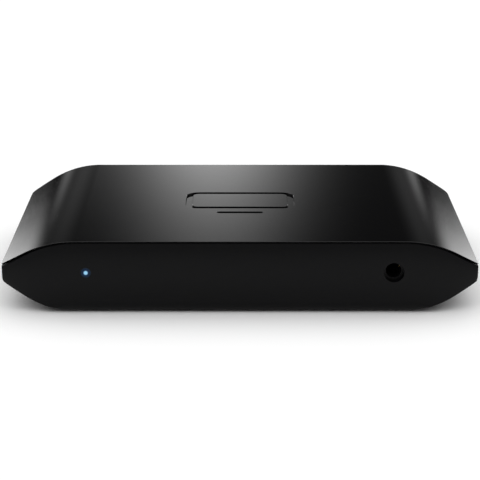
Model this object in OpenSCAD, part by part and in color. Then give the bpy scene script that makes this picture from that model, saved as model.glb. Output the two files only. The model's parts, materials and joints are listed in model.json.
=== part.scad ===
// Video capture box: a low glossy-topped case with video, computer and audio sockets around one board.
// Millimetres. X runs to the right, Y to the back, Z up. The origin is on the floor under the middle.

/* [Case outline] */
// Overall width, side to side
body_w = 112; // [100:1:130]
// Overall depth, front to back
body_d = 72; // [64:1:90]
// Overall height, standing on its feet
body_h = 18; // [16:0.5:26]
// How far in from each side the roof starts to fall
roof_reach = 18; // [15:0.5:20]
// Fall of the roof bevels, in degrees
roof_angle = 30.5; // [24:0.5:34]
// Radius between the flat roof and each bevel
roof_r = 25; // [16:1:29]
// How far in from each side the underside starts to rise
keel_reach = 18; // [15:0.5:19]
// Rise of the underside bevels, in degrees
keel_angle = 30.8; // [24:0.2:33]
// Radius between the flat underside and each bevel
keel_r = 25.5; // [16:0.5:29]
// Rounding where each underside bevel meets the side
side_r = 2; // [0.8:0.1:3]
// How far in from each side the front and rear walls start to sweep back
sweep_reach = 18.7; // [14:0.1:19]
// How far the walls have swept back at the corners
sweep_back = 3.9; // [2.5:0.1:4.4]
// Rounding of the upright corners
corner_r = 0.8; // [0.5:0.1:1.4]
// Rounding along the lower front and rear edges
roll_r = 3; // [1.5:0.1:4]

/* [Case walls] */
// Wall of the lower case
wall = 2; // [1.6:0.1:2.2]
// Visible edge of the cover above the joint line
skin_t = 0.6; // [0.5:0.05:0.9]
// Width of the joint line under the cover
seam = 0.2; // [0.1:0.05:0.3]
// Thickness of the cover inside the walls
roof_t = 1.8; // [1.4:0.1:2]
// Room between the cover and the inside of the walls
cover_fit = 0.2; // [0.1:0.05:0.4]
// Thickness of the cover's locating lip
lip_t = 1.2; // [0.8:0.1:1.6]
// Depth of the locating lip below the cover
lip_h = 2; // [1:0.1:3]
// Room between the locating lip and the sockets
lip_room = 0.3; // [0.2:0.05:0.6]
// Width of the emblem sunk in the cover
emblem_w = 27; // [16:1:32]
// Depth of the emblem
emblem_deep = 0.3; // [0.15:0.05:0.4]

/* [Feet and case screws] */
// How far the feet stand out below the case
foot_h = 0.4; // [0.3:0.1:1]
// Radius of each foot
foot_r = 5; // [4:0.1:6]
// Depth of the pocket that holds each foot
foot_pocket = 0.8; // [0.6:0.1:0.9]
// Distance of the case screws from the middle, sideways
post_x = 28; // [27.5:0.1:28.5]
// Distance of the case screws from the middle, front to back
post_y = 25; // [24:0.1:25.4]
// Radius of the posts around the case screws
post_r = 3; // [2.8:0.1:3.1]
// Shank radius of the case screws
case_screw_r = 1.2; // [1:0.05:1.3]

/* [Board] */
// Clear height under the board
standoff_h = 3.8; // [3.2:0.1:4.6]
// Board thickness
board_t = 1.6; // [1.2:0.1:1.8]
// Room between the board and each side of the case
board_side = 9; // [8.5:0.5:11]
// Distance of the board screws from the middle, sideways
board_screw_x = 43; // [42:0.1:43.4]
// Distance of the board screws from the middle, front to back
board_screw_y = 19; // [17:0.1:20]
// Shank radius of the board screws
board_screw_r = 0.8; // [0.7:0.05:0.95]
// Radius of the board screws' heads
board_head_r = 1.9; // [1.4:0.1:2.2]
// Height of the board screws' heads
board_head_h = 1.2; // [0.8:0.1:1.6]
// Radius of the standoffs under the board
standoff_r = 2.4; // [1.8:0.1:3]
// Room between the board and the front wall
board_front_gap = 2.5; // [1.5:0.1:4]
// Room between the board and the rear wall
board_rear_gap = 0.8; // [0.5:0.1:2]

/* [Front] */
// Distance of the status light and the audio socket from the middle
front_x = 35.9; // [35.5:0.1:36.4]
// Radius of the status light's tip
lamp_r = 0.6; // [0.5:0.05:0.8]
// Radius of the round opening for the audio plug
plug_hole_r = 2.2; // [2:0.05:3]
// Radius of the audio socket's bore
jack_r = 1.8; // [1.6:0.05:2]
// Height of the audio socket's axis above the board
jack_up = 2.6; // [2.4:0.05:3]
// Width of the audio socket
jack_w = 7.6; // [7.2:0.1:8.4]
// Length of the round guide at the audio socket's mouth
jack_guide = 4.2; // [3:0.1:6]
// How much wider the bore is behind its guide, on the radius
jack_relief = 0.3; // [0.2:0.05:0.5]
// Blade length of the contact springs, from root to bump
spring_run = 3.6; // [3:0.1:4.5]
// Width of the contact springs
spring_w = 2; // [1.2:0.1:2.4]
// Thickness of the contact springs
spring_t = 0.25; // [0.15:0.05:0.35]
// Radius of the rolled root of the contact springs
root_r = 0.45; // [0.35:0.05:0.55]
// Room around the contact springs
spring_room = 0.2; // [0.15:0.05:0.3]
// How far the bumps of the contact springs reach into the bore
spring_reach = 0.18; // [0.1:0.01:0.25]

/* [Rear sockets] */
// Place of the video output along the rear wall
video_out_x = -16; // [-16.4:0.1:-14]
// Place of the video input along the rear wall
video_in_x = 3; // [2:0.1:4]
// Place of the computer socket along the rear wall
computer_x = 19; // [18:0.1:19.4]
// How far the socket mouths sit behind the rear wall's face
mouth_in = 0.8; // [0.4:0.05:1.2]
// Width of a video socket
video_w = 15; // [13:0.1:16.5]
// Height of a video socket above the board
video_top = 6; // [5:0.05:7]
// Length of a video socket
video_len = 11.5; // [10:0.1:13]
// Width of the computer socket
computer_w = 9; // [8:0.05:10]
// Height of the computer socket
computer_t = 3.3; // [2.9:0.05:3.8]
// Length of the computer socket
computer_len = 8; // [7:0.1:9]
// Room between the sockets and the edges of their openings
socket_room = 0.25; // [0.15:0.05:0.5]
// Height of a video socket's underside above the board
video_lift = 0.4; // [0.2:0.05:0.8]
// Size of the cut-off lower corners of a video socket
video_cut = 2; // [1.4:0.1:2.4]
// Thickness of a video socket's tongue
video_tongue = 1; // [0.8:0.05:1.3]
// Sheet thickness of the video sockets
video_sheet = 0.35; // [0.25:0.05:0.45]
// Thickness of the computer socket's tongue
computer_tongue = 0.7; // [0.5:0.05:0.9]
// Sheet thickness of the computer socket
computer_sheet = 0.3; // [0.2:0.05:0.4]
// Pitch of the contacts in a video socket
video_pitch = 1; // [0.8:0.05:1.1]
// Width of a contact in a video socket
video_strip = 0.4; // [0.25:0.05:0.5]
// Pitch of the contacts in the computer socket
computer_pitch = 0.5; // [0.4:0.01:0.52]
// Width of a contact in the computer socket
computer_strip = 0.22; // [0.15:0.01:0.3]
// Thickness of the sockets' contacts
contact_t = 0.1; // [0.06:0.01:0.12]

/* [Processor and heat sink] */
// Side of the processor
processor_w = 23; // [18:0.5:26]
// Thickness of the pad on the processor
pad_t = 0.8; // [0.5:0.1:1.2]
// Width of the heat sink
sink_w = 44; // [40:0.5:48]
// Depth of the heat sink
sink_d = 32; // [28:0.5:36]
// Thickness of the heat sink's base
sink_base = 2; // [1.5:0.1:2.6]
// Room between the fins and the cover
sink_air = 0.8; // [0.4:0.1:2]
// Thickness of a fin
fin_t = 1.2; // [0.8:0.1:1.6]
// Number of fins
fin_n = 9; // [6:1:11]
// Depth of the plain strips before and behind the fins
sink_strip = 4; // [3.8:0.1:6]
// Shank radius of the heat sink's screws
sink_screw_r = 1; // [0.8:0.05:1.1]
// Height of the heat sink's nuts
nut_h = 1.6; // [1.2:0.1:2]
// Thickness of the processor's carrier
carrier_t = 0.9; // [0.6:0.1:1.2]
// Side of the die on the carrier
die_w = 14; // [10:0.5:16]
// Height of the die above the carrier
die_t = 0.7; // [0.4:0.1:1]
// Side of the pad on the processor
pad_w = 16; // [12:0.5:18]
// Side of the pad between board and case floor
floor_pad_w = 20; // [14:0.5:24]

/* [Board parts] */
// Room between neighbouring parts on the board
part_gap = 0.8; // [0.5:0.1:1.2]
// Room between the video chips and the processor
row_gap = 3; // [2:0.1:5]
// Height of the chips
chip_t = 0.9; // [0.6:0.1:1.2]
// Width of a memory chip
memory_w = 8.5; // [7:0.1:10]
// Depth of a memory chip
memory_d = 13; // [10:0.1:14]
// Side of the video receiver chip
receiver_w = 10; // [7:0.1:11]
// Side of the video driver chip
driver_w = 8; // [5:0.1:9]
// Side of the port controller chip
controller_w = 8; // [6:0.1:10]
// Side of the audio codec chip
codec_w = 6; // [4:0.1:7]
// Width of the flash chip
flash_w = 5; // [4:0.1:6]
// Depth of the flash chip
flash_d = 6; // [5:0.1:7]
// Length of a clock crystal
crystal_w = 3.2; // [2.5:0.1:4]
// Depth of a clock crystal
crystal_d = 2.5; // [2:0.1:3.2]
// Side of a power inductor
inductor_w = 6.4; // [5:0.1:7.2]
// Height of a power inductor
inductor_h = 3.2; // [2:0.1:4.5]
// Room between the power inductors
inductor_gap = 2.1; // [1:0.1:3]
// Room between the inductors and the side of the board
inductor_in = 4.8; // [3:0.1:6]
// Side of a power regulator
regulator_w = 4; // [3:0.1:5]
// Radius of a bulk capacitor's can
bulk_r = 2.4; // [1.6:0.1:2.6]
// Height of a bulk capacitor
bulk_h = 5.4; // [4:0.1:6]
// Length of a ceramic capacitor
ceramic_l = 1.6; // [1:0.1:2]
// Width and height of a ceramic capacitor
ceramic_w = 0.8; // [0.5:0.1:1.2]
// Length of a chip resistor
resistor_l = 1; // [0.6:0.1:1.4]
// Width of a chip resistor
resistor_w = 0.5; // [0.3:0.05:0.7]
// Width of a surge array
surge_w = 2.4; // [1.6:0.1:2.6]
// Width of a line filter
filter_w = 1.3; // [1:0.1:1.8]
// Depth of the surge arrays and line filters
filter_d = 1; // [0.6:0.1:1.2]
// Width of the shield can
can_w = 15; // [12:0.5:17]
// Depth of the shield can
can_d = 21; // [16:0.5:23]
// Height of the shield can
can_h = 3; // [2:0.1:4]
// Sheet thickness of the shield can
can_t = 0.25; // [0.15:0.05:0.4]
// Room between the shield can and the side of the board
can_in = 2; // [1:0.1:4]
// Radius of the vent holes in the shield can
vent_r = 0.6; // [0.4:0.05:0.7]

/* [Hidden] */
$fn = 48;
arc_n = 14;
hw = body_w / 2;
hd = body_d / 2;
roof_x = hw - roof_reach;
keel_x = hw - keel_reach;
sweep_x = hw - sweep_reach;
sweep_r = (sweep_reach * sweep_reach + sweep_back * sweep_back) / (2 * sweep_back);
floor_z = foot_h + wall;
board_z = floor_z + standoff_h;
deck = board_z + board_t;
front_z = deck + jack_up;
roof_under = body_h - roof_t;
post_top = deck + 1;
screw_seat = foot_h + foot_pocket + 2;
mouth_y = hd - mouth_in;
board_hw = hw - board_side;
board_back = hd - wall - board_rear_gap;
board_front = -(hd - wall - board_front_gap);

// The audio socket: depths are counted from its mouth
jack_y = -(hd - wall) + 0.1;
jack_top = 2 * jack_up;
slot_run = spring_run + 1.2;
pocket_r = root_r + spring_room;
sleeve_root = jack_guide + 0.6 + slot_run;
tip_root = sleeve_root + pocket_r + 0.85 + slot_run;
ring_root = jack_guide + 0.75 + pocket_r;
jack_len = tip_root + pocket_r + 0.65;
jack_deep = jack_len - 3;
spring_u = jack_r + 0.5 + root_r;
blade_u = jack_r + 0.15;
bump_r = 0.2 + spring_reach;
// Each contact spring: side of the bore, depth of its root and the way its blade points
tip_spring = [1, tip_root, -1];
ring_spring = [-1, ring_root, 1];
sleeve_spring = [1, sleeve_root, -1];
spring_list = [tip_spring, ring_spring, sleeve_spring];

// The rear sockets
video_mid = (video_lift + video_top) / 2 + 0.3;
computer_mid = computer_t / 2 + 0.1;
video_legs = [video_len * 0.36, video_len * 0.8];
computer_legs = [computer_len * 0.4, computer_len * 0.8];

// Rows of parts, from the video sockets forward to the processor and its heat sink
surge_y = mouth_y - video_len - 1.1 - part_gap - filter_d / 2;
filter_y = surge_y - filter_d - part_gap;
chip_back = filter_y - filter_d / 2 - part_gap / 2;
cpu_x = -2;
cpu_y = chip_back - receiver_w - row_gap - processor_w / 2;
sink_z = deck + carrier_t + die_t + pad_t;
fin_h = roof_under - sink_air - sink_z - sink_base;
sink_bolts = [for (s = [-1, 1]) [cpu_x + s * (sink_w / 2 - 4), cpu_y + s * (sink_d - sink_strip) / 2]];

// Parts beside the edges of the board and the audio socket
inductor_x = -(board_hw - inductor_in - inductor_w / 2);
ceramic_x = inductor_x + inductor_w / 2 + part_gap + ceramic_w / 2;
regulator_x = ceramic_x + ceramic_w / 2 + part_gap + regulator_w / 2;
bulk_w = 2 * bulk_r + 0.4;
bulk_x = -(post_x + post_r + part_gap / 4);
can_x = board_hw - can_w / 2 - can_in;
can_y = 5;
memory_run = (processor_w + memory_w) / 2 + part_gap;
flash_x = (cpu_x + memory_run + memory_w / 2 + can_x - can_w / 2) / 2;
flash_y = 2;
flash_row_y = flash_y + flash_d / 2 + part_gap + resistor_l / 2;
crystal_y = flash_row_y + resistor_l / 2 + part_gap + crystal_d / 2;
codec_x = front_x - jack_w / 2 - 2.5 * part_gap - codec_w / 2;
codec_y = -post_y + post_r + 6 * part_gap + codec_w / 2;

posts = [for (sx = [-1, 1], sy = [-1, 1]) [sx * post_x, sy * post_y]];
board_bolts = [for (sx = [-1, 1], sy = [-1, 1]) [sx * board_screw_x, sy * board_screw_y]];

glossy_black = [0.03, 0.03, 0.035];
matte_black = [0.09, 0.09, 0.1];
rubber_black = [0.06, 0.06, 0.06];
steel_grey = [0.72, 0.73, 0.75];
board_green = [0.05, 0.2, 0.12];
chip_black = [0.12, 0.12, 0.13];
contact_gold = [0.85, 0.68, 0.3];
alu_grey = [0.6, 0.62, 0.65];
pad_grey = [0.55, 0.6, 0.7];
clear_blue = [0.55, 0.8, 0.95];
socket_black = [0.05, 0.05, 0.05];
cap_tan = [0.7, 0.6, 0.45];

// Points along an arc, from step k0 on
function arc(cx, cy, r, a0, a1, n, k0 = 0) =
    [for (i = [k0:n]) let (a = a0 + (a1 - a0) * i / n) [cx + r * cos(a), cy + r * sin(a)]];
function flip_x(p) = [for (i = [len(p) - 1:-1:0]) [-p[i][0], p[i][1]]];
function flip_y(p) = [for (i = [len(p) - 1:-1:0]) [p[i][0], -p[i][1]]];
function back_to_front(p) = [for (i = [len(p) - 1:-1:0]) p[i]];
function past(p, q, k) = [q[0] + (q[0] - p[0]) * k, q[1] + (q[1] - p[1]) * k];

// Right half of the roof line, set in by t, from the flat out to x_end
function roof_right(t, x_end) = let (
        a = arc(roof_x, body_h - roof_r, roof_r - t, 90, 90 - roof_angle, arc_n),
        e = a[arc_n])
    concat(a, [[x_end, e[1] - (x_end - e[0]) * tan(roof_angle)]]);

// Right half of the underside line, set in by t, from the flat out to x_end
function keel_right(t, x_end) = let (
        a = arc(keel_x, foot_h + keel_r, keel_r - t, -90, -90 + keel_angle, arc_n),
        e = a[arc_n])
    concat(a, [[x_end, e[1] + (x_end - e[0]) * tan(keel_angle)]]);

// The outer underside line with its rounded lower side, running on past the side
function keel_rounded() = let (
        k = keel_right(0, hw),
        c = k[arc_n + 1],
        run = side_r * tan((90 - keel_angle) / 2),
        f = arc(hw - side_r, c[1] + run, side_r, keel_angle - 90, 0, 6),
        last = past(f[5], f[6], 0.5))
    concat([for (i = [0:arc_n]) k[i]], f, [last, [hw + 2.5, last[1]]]);

// One quarter of the outline seen from above, set in by t
function plan_quarter(t) = let (
        r = max(corner_r - t, 0.4),
        big = sweep_r - t,
        cy = -hd + sweep_r,
        xc = hw - t - r,
        turn = asin((xc - sweep_x) / (big - r)),
        yc = cy - (big - r) * cos(turn))
    concat(arc(sweep_x, cy, big, -90, -90 + turn, arc_n), arc(xc, yc, r, -90 + turn, 0, 5, 1));

function plan_outline(t) = let (q = plan_quarter(t), h = concat(q, flip_y(q))) concat(h, flip_x(h));

// A section across the width, carried from front to back
module along_y(from, to) {
    translate([0, to, 0])
        rotate([90, 0, 0])
            linear_extrude(height = to - from)
                children();
}

// A section from front to back, carried across the width
module along_x(from, to) {
    translate([from, 0, 0])
        rotate([90, 0, 90])
            linear_extrude(height = to - from)
                children();
}

module plan_prism(t) {
    translate([0, 0, -1])
        linear_extrude(height = body_h + 4)
            polygon(plan_outline(t));
}

// The band between two roof lines
module roof_band(t0, t1) {
    outer = roof_right(t0, hw + 2);
    inner = roof_right(t1, hw + 2);
    along_y(-hd - 2, hd + 2)
        polygon(concat(flip_x(outer), outer, back_to_front(concat(flip_x(inner), inner))));
}

// The outer body under the joint line
module outer_body(t) {
    right = concat(keel_rounded(), [for (i = [arc_n + 1:-1:0]) roof_right(t, hw + 2.5)[i]]);
    difference() {
        intersection() {
            along_y(-hd - 2, hd + 2)
                polygon(concat(right, flip_x(right)));
            plan_prism(0);
        }
        for (m = [0, 1])
            mirror([0, m, 0])
                along_x(-hw - 1, hw + 1)
                    roll_cut();
    }
}

// What the rounded lower edge takes away
module roll_cut() {
    a = arc(-hd + roll_r, foot_h + roll_r, roll_r, 180, 270, 8);
    polygon(concat([past(a[1], a[0], 0.5)], a, [past(a[7], a[8], 0.5)],
        [[-hd + roll_r + 0.3, foot_h - 2], [-hd - 2, foot_h - 2], [-hd - 2, foot_h + roll_r + 0.3]]));
}

// The hollow of the lower case
module hollow() {
    right = concat(keel_right(wall, hw + 2), [[hw + 2, body_h + 3]]);
    intersection() {
        along_y(-hd - 2, hd + 2)
            polygon(concat(right, flip_x(right)));
        plan_prism(wall);
    }
}

module rod_y(x, z, r, from, to) {
    translate([x, from, z])
        rotate([-90, 0, 0])
            cylinder(r = r, h = to - from);
}

module block(x, y, z, w, d, h) {
    translate([x - w / 2, y - d / 2, z])
        cube([w, d, h]);
}

// The mouth of a video socket: a box whose lower corners are cut off
module video_outline(grow) {
    w = video_w / 2 + grow;
    low = w - video_cut;
    step = video_lift + video_cut - grow * 0.4;
    polygon([[-w, video_top + grow], [-w, step], [-low, video_lift - grow], [low, video_lift - grow],
        [w, step], [w, video_top + grow]]);
}

module computer_outline(grow) {
    r = computer_t / 2 + grow;
    c = (computer_w - computer_t) / 2;
    q = arc(c, computer_mid, r, -90, 90, 12);
    polygon(concat(q, flip_x(q)));
}

// The three rear sockets in outline, grown by a clearance
module rear_outlines(grow) {
    for (x = [video_in_x, video_out_x])
        translate([x, deck])
            video_outline(grow);
    translate([computer_x, deck])
        computer_outline(grow);
}

module rounded_rect(w, h, r) {
    q = arc(w / 2 - r, h / 2 - r, r, 0, 90, 5);
    half = concat(flip_y(q), q);
    polygon(concat(half, flip_x(half)));
}

// A plain screen sign: a rounded frame over a short bar
module emblem() {
    stroke = emblem_w * 0.06;
    h = emblem_w * 0.56;
    difference() {
        rounded_rect(emblem_w, h, emblem_w * 0.12);
        rounded_rect(emblem_w - 2 * stroke, h - 2 * stroke, emblem_w * 0.12 - stroke);
    }
    translate([0, -h / 2 - 2.2 * stroke])
        rounded_rect(emblem_w * 0.42, stroke, stroke * 0.45);
}

module lower_case() {
    color(matte_black)
    difference() {
        union() {
            difference() {
                outer_body(skin_t + seam);
                hollow();
            }
            for (p = posts)
                translate([p[0], p[1], floor_z - 0.5])
                    cylinder(r = post_r, h = post_top - floor_z + 0.5);
            intersection() {
                outer_body(skin_t + seam);
                for (p = board_bolts)
                    translate([p[0], p[1], foot_h - 1])
                        cylinder(r = standoff_r, h = board_z - foot_h + 1);
            }
        }
        for (p = posts)
            translate([p[0], p[1], foot_h - 1]) {
                cylinder(r = foot_r + 0.1, h = foot_pocket + 1);
                cylinder(r = case_screw_r * 2, h = screw_seat - foot_h + 1);
                cylinder(r = case_screw_r + 0.2, h = body_h);
            }
        for (p = board_bolts)
            translate([p[0], p[1], board_z - 2.6])
                cylinder(r = board_screw_r + 0.02, h = body_h);
        rod_y(-front_x, front_z, lamp_r + 0.05, -hd - 1, -hd + wall + 1);
        rod_y(front_x, front_z, plug_hole_r, -hd - 1, -hd + wall + 1);
        along_y(hd - wall - 1, hd + 1)
            rear_outlines(socket_room);
    }
}

module top_cover() {
    color(glossy_black)
    difference() {
        union() {
            intersection() {
                roof_band(0, skin_t);
                plan_prism(0);
            }
            intersection() {
                roof_band(skin_t / 2, roof_t);
                plan_prism(wall + cover_fit);
            }
            difference() {
                intersection() {
                    roof_band(roof_t * 0.7, roof_t + lip_h);
                    translate([0, 0, -1])
                        linear_extrude(height = body_h + 4)
                            difference() {
                                polygon(plan_outline(wall + cover_fit + 0.2));
                                polygon(plan_outline(wall + cover_fit + 0.2 + lip_t));
                            }
                }
                along_y(hd - wall - 8, hd)
                    rear_outlines(lip_room);
                block(front_x, jack_y, deck, jack_w + 2 * lip_room, jack_len, jack_top + lip_room);
            }
            for (p = posts)
                translate([p[0], p[1], post_top])
                    cylinder(r = post_r, h = roof_under - post_top + 0.4);
        }
        for (p = posts)
            translate([p[0], p[1], post_top - 1])
                cylinder(r = case_screw_r + 0.02, h = 6);
        translate([0, 0, body_h - emblem_deep])
            linear_extrude(height = 2)
                emblem();
    }
}

module rubber_feet() {
    color(rubber_black)
    for (p = posts)
        translate([p[0], p[1], 0])
            rotate_extrude()
                polygon([[0, 0], [foot_r - 0.2, 0], [foot_r, 0.2], [foot_r, foot_h + foot_pocket],
                    [0, foot_h + foot_pocket]]);
}

// A screw standing on its tip, head down, with a cross recess
module screw(shank_r, head_r, head_h, length) {
    difference() {
        union() {
            cylinder(r = head_r, h = head_h);
            cylinder(r = shank_r, h = head_h + length);
        }
        for (a = [0, 90])
            rotate([0, 0, a])
                block(0, 0, -1, head_r * 1.3, head_r * 0.25, 1 + head_h * 0.5);
    }
}

module case_screws() {
    color(steel_grey)
    for (p = posts)
        translate([p[0], p[1], screw_seat - 1.6])
            screw(case_screw_r, case_screw_r * 1.85, 1.6, post_top - screw_seat + 4);
}

module board_screws() {
    color(steel_grey)
    for (p = board_bolts)
        translate([p[0], p[1], deck + board_head_h])
            mirror([0, 0, 1])
                screw(board_screw_r, board_head_r, board_head_h, board_t + standoff_h / 2);
}

// Pipe from over the lamp on the board, forward to the dot on the front wall
module light_pipe() {
    back = board_front + 2.6;
    color(clear_blue)
    difference() {
        union() {
            rod_y(-front_x, front_z, lamp_r, -hd, -hd + wall + 0.5);
            rod_y(-front_x, front_z, 1.1, -hd + wall + 0.02, back - 1);
            translate([-front_x - 1.2, back - 2.4, deck + 0.85])
                cube([2.4, 2.4, jack_up + 0.35]);
        }
        translate([-front_x - 2, back - 1.1, front_z + 1.2])
            rotate([-45, 0, 0])
                cube([4, 4, 4]);
    }
}

module status_light() {
    color(clear_blue)
        block(-front_x, board_front + 1.4, deck, 1.6, 1.6, 0.85);
}

module main_board() {
    board_right = [[board_hw - 4, board_front], [board_hw, board_front + 4], [board_hw, board_back - 5],
        [board_hw - 5, board_back]];
    color(board_green)
    translate([0, 0, board_z])
        linear_extrude(height = board_t)
            difference() {
                polygon(concat(board_right, flip_x(board_right)));
                for (p = posts)
                    translate(p)
                        circle(r = post_r + 0.3);
                for (p = board_bolts)
                    translate(p)
                        circle(r = board_screw_r + 0.3);
                for (p = sink_bolts)
                    translate(p)
                        circle(r = sink_screw_r + 0.1);
                for (s = spring_list)
                    translate([front_x + s[0] * spring_u, jack_y + s[1]])
                        circle(r = root_r + 0.15);
                for (x = [video_in_x, video_out_x], sx = [-1, 1], y = video_legs)
                    translate([x + sx * (video_w - video_sheet) / 2, mouth_y - y])
                        square([video_sheet + 0.4, 2.1], center = true);
                for (sx = [-1, 1], y = computer_legs)
                    translate([computer_x + sx * (computer_w - computer_sheet) / 2, mouth_y - y])
                        square([computer_sheet + 0.4, 1.6], center = true);
            }
}

module video_shell(x) {
    t = video_sheet;
    color(steel_grey)
    translate([x, mouth_y, deck]) {
        along_y(-video_len, 0)
            difference() {
                video_outline(0);
                video_outline(-t);
            }
        for (sx = [-1, 1], y = video_legs)
            translate([sx * (video_w - t) / 2, -y, -board_t - 0.6])
                block(0, 0, 0, t, 1.6, board_t + video_lift + video_cut + 1.2);
    }
}

module video_core(x) {
    color(socket_black)
    translate([x, mouth_y, deck]) {
        difference() {
            along_y(-video_len + 0.3, -video_len + 4.5)
                video_outline(-video_sheet - 0.05);
            for (z = [video_mid + video_tongue / 2, video_mid - video_tongue / 2 - contact_t - 0.04])
                block(0, -video_len + 2, z, 10.2 * video_pitch + video_strip, 8, contact_t + 0.04);
        }
        translate([0, -video_len / 2 + 0.5, video_mid - video_tongue / 2])
            block(0, 0, 0, 11.2 * video_pitch + video_strip, video_len - 3.1, video_tongue);
    }
}

// One bent contact strip: along the tongue, down behind the socket and onto the board
module strip(x, w, front, back, z0, z1) {
    t = z1 - z0;
    translate([x - w / 2, 0, 0])
        along_x(0, w)
            polygon(z1 > z0
                ? [[front, z0], [front, z1], [back - t, z1], [back - t, t], [back - 0.8, t],
                    [back - 0.8, 0], [back, 0], [back, z0]]
                : [[front, z0], [front, z1], [back, z1], [back, 0], [back - 0.8, 0], [back - 0.8, -t],
                    [back + t, -t], [back + t, z0]]);
}

module video_contacts(x) {
    color(contact_gold)
    translate([x, mouth_y, deck]) {
        top = video_mid + video_tongue / 2;
        low = video_mid - video_tongue / 2;
        for (i = [0:9])
            strip((i - 4.5) * video_pitch, video_strip, -1.6, -video_len - 0.3, top, top + contact_t);
        for (i = [0:8])
            strip((i - 4) * video_pitch, video_strip, -1.6, -video_len - 0.1, low, low - contact_t);
    }
}

module computer_port_shell() {
    t = computer_sheet;
    color(steel_grey)
    translate([computer_x, mouth_y, deck]) {
        along_y(-computer_len, 0)
            difference() {
                computer_outline(0);
                computer_outline(-t);
            }
        for (sx = [-1, 1], y = computer_legs)
            block(sx * (computer_w - t) / 2, -y, -board_t - 0.5, t, 1.1, board_t + computer_mid + 0.9);
    }
}

module computer_port_core() {
    top = computer_mid + computer_tongue / 2;
    low = computer_mid - computer_tongue / 2;
    color(socket_black)
    translate([computer_x, mouth_y, deck]) {
        difference() {
            along_y(-computer_len + 0.3, -computer_len + 3)
                computer_outline(-computer_sheet - 0.05);
            for (z = [top, low - contact_t - 0.02])
                block(0, -computer_len + 1.5, z, 12 * computer_pitch, 6, contact_t + 0.02);
        }
        block(0, -computer_len / 2, low, 13.2 * computer_pitch, computer_len - 1.6, computer_tongue);
    }
}

module computer_port_contacts() {
    top = computer_mid + computer_tongue / 2;
    low = computer_mid - computer_tongue / 2;
    color(contact_gold)
    translate([computer_x, mouth_y, deck]) {
        for (i = [-5.5:5.5]) {
            x = i * computer_pitch;
            strip(x, computer_strip, -1.2, -computer_len - 1.3, top, top + contact_t);
            strip(x, computer_strip, -1.2, -computer_len - 0.1, low, low - contact_t);
        }
    }
}

// The room that one contact spring needs in the audio socket, and the hole for its pin
module jack_pocket(s) {
    h = spring_w + 2 * spring_room;
    inner = jack_r - 0.7;
    outer = spring_u + pocket_r - 0.05;
    translate([s[0] * spring_u, s[1], -h / 2])
        cylinder(r = pocket_r, h = h);
    translate([s[0] > 0 ? inner : -outer, s[2] > 0 ? s[1] : s[1] - slot_run, -h / 2])
        cube([outer - inner, slot_run, h]);
    translate([s[0] * spring_u, s[1], -jack_up - 1])
        cylinder(r = root_r, h = jack_up);
}

module audio_jack_housing() {
    color(socket_black)
    difference() {
        block(front_x, jack_y + jack_len / 2, deck, jack_w, jack_len, jack_top);
        rod_y(front_x, front_z, jack_r, jack_y - 1, jack_y + jack_guide + 0.5);
        rod_y(front_x, front_z, jack_r + jack_relief, jack_y + jack_guide, jack_y + jack_deep);
        for (s = spring_list)
            translate([front_x, jack_y, front_z])
                jack_pocket(s);
    }
}

// A contact spring: rolled root, flat blade and round bump that touches the plug
module jack_spring(s) {
    tip = s[2] * (spring_run + 0.7);
    outer = blade_u + spring_t;
    color(contact_gold)
    translate([front_x, jack_y + s[1], front_z - spring_w / 2])
        mirror([s[0] > 0 ? 0 : 1, 0, 0]) {
            translate([spring_u, 0, 0])
                cylinder(r = root_r, h = spring_w);
            linear_extrude(height = spring_w)
                polygon([[spring_u - 0.3, 0], [blade_u, s[2] * 1.1], [blade_u, tip], [outer, tip],
                    [outer, s[2] * 1.2], [spring_u, s[2] * 0.3]]);
            translate([blade_u + 0.05, s[2] * spring_run, 0])
                difference() {
                    cylinder(r = bump_r, h = spring_w);
                    translate([0.1, -1, -1])
                        cube([2, 2, spring_w + 2]);
                }
        }
}

module audio_jack_pins() {
    color(contact_gold)
    for (s = spring_list)
        translate([front_x + s[0] * spring_u, jack_y + s[1], board_z - 1])
            cylinder(r = root_r - 0.05, h = front_z - spring_w / 2 - spring_room - board_z + 1);
}

module capture_processor() {
    color(chip_black) {
        block(cpu_x, cpu_y, deck, processor_w, processor_w, carrier_t);
        block(cpu_x, cpu_y, deck + carrier_t - 0.1, die_w, die_w, die_t + 0.1);
    }
}

module processor_pad() {
    color(pad_grey)
        block(cpu_x, cpu_y, deck + carrier_t + die_t, pad_w, pad_w, pad_t);
}

module heat_sink() {
    pitch = (sink_w - 4) / (fin_n - 1);
    color(alu_grey)
    difference() {
        union() {
            block(cpu_x, cpu_y, sink_z, sink_w, sink_d, sink_base);
            for (i = [0:fin_n - 1])
                translate([cpu_x - sink_w / 2 + 2 + i * pitch, cpu_y, sink_z + sink_base - 0.2])
                    block(0, 0, 0, fin_t, sink_d - 2 * sink_strip, fin_h + 0.2);
        }
        for (p = sink_bolts)
            translate([p[0], p[1], sink_z - 1])
                cylinder(r = sink_screw_r + 0.1, h = sink_base + 2);
    }
}

module heat_sink_spacers() {
    color(steel_grey)
    for (p = sink_bolts)
        translate([p[0], p[1], deck])
            difference() {
                cylinder(r = sink_screw_r + 0.9, h = sink_z - deck);
                translate([0, 0, -1])
                    cylinder(r = sink_screw_r + 0.1, h = sink_z - deck + 2);
            }
}

module heat_sink_screws() {
    color(steel_grey)
    for (p = sink_bolts)
        translate([p[0], p[1], sink_z + sink_base + 1.3])
            mirror([0, 0, 1])
                screw(sink_screw_r, sink_screw_r * 1.7, 1.3, sink_z + sink_base - board_z + nut_h + 0.2);
}

module heat_sink_nuts() {
    color(steel_grey)
    for (p = sink_bolts)
        translate([p[0], p[1], board_z - nut_h])
            difference() {
                cylinder(r = sink_screw_r * 2.2, h = nut_h, $fn = 6);
                translate([0, 0, -1])
                    cylinder(r = sink_screw_r + 0.02, h = nut_h + 2);
            }
}

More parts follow.
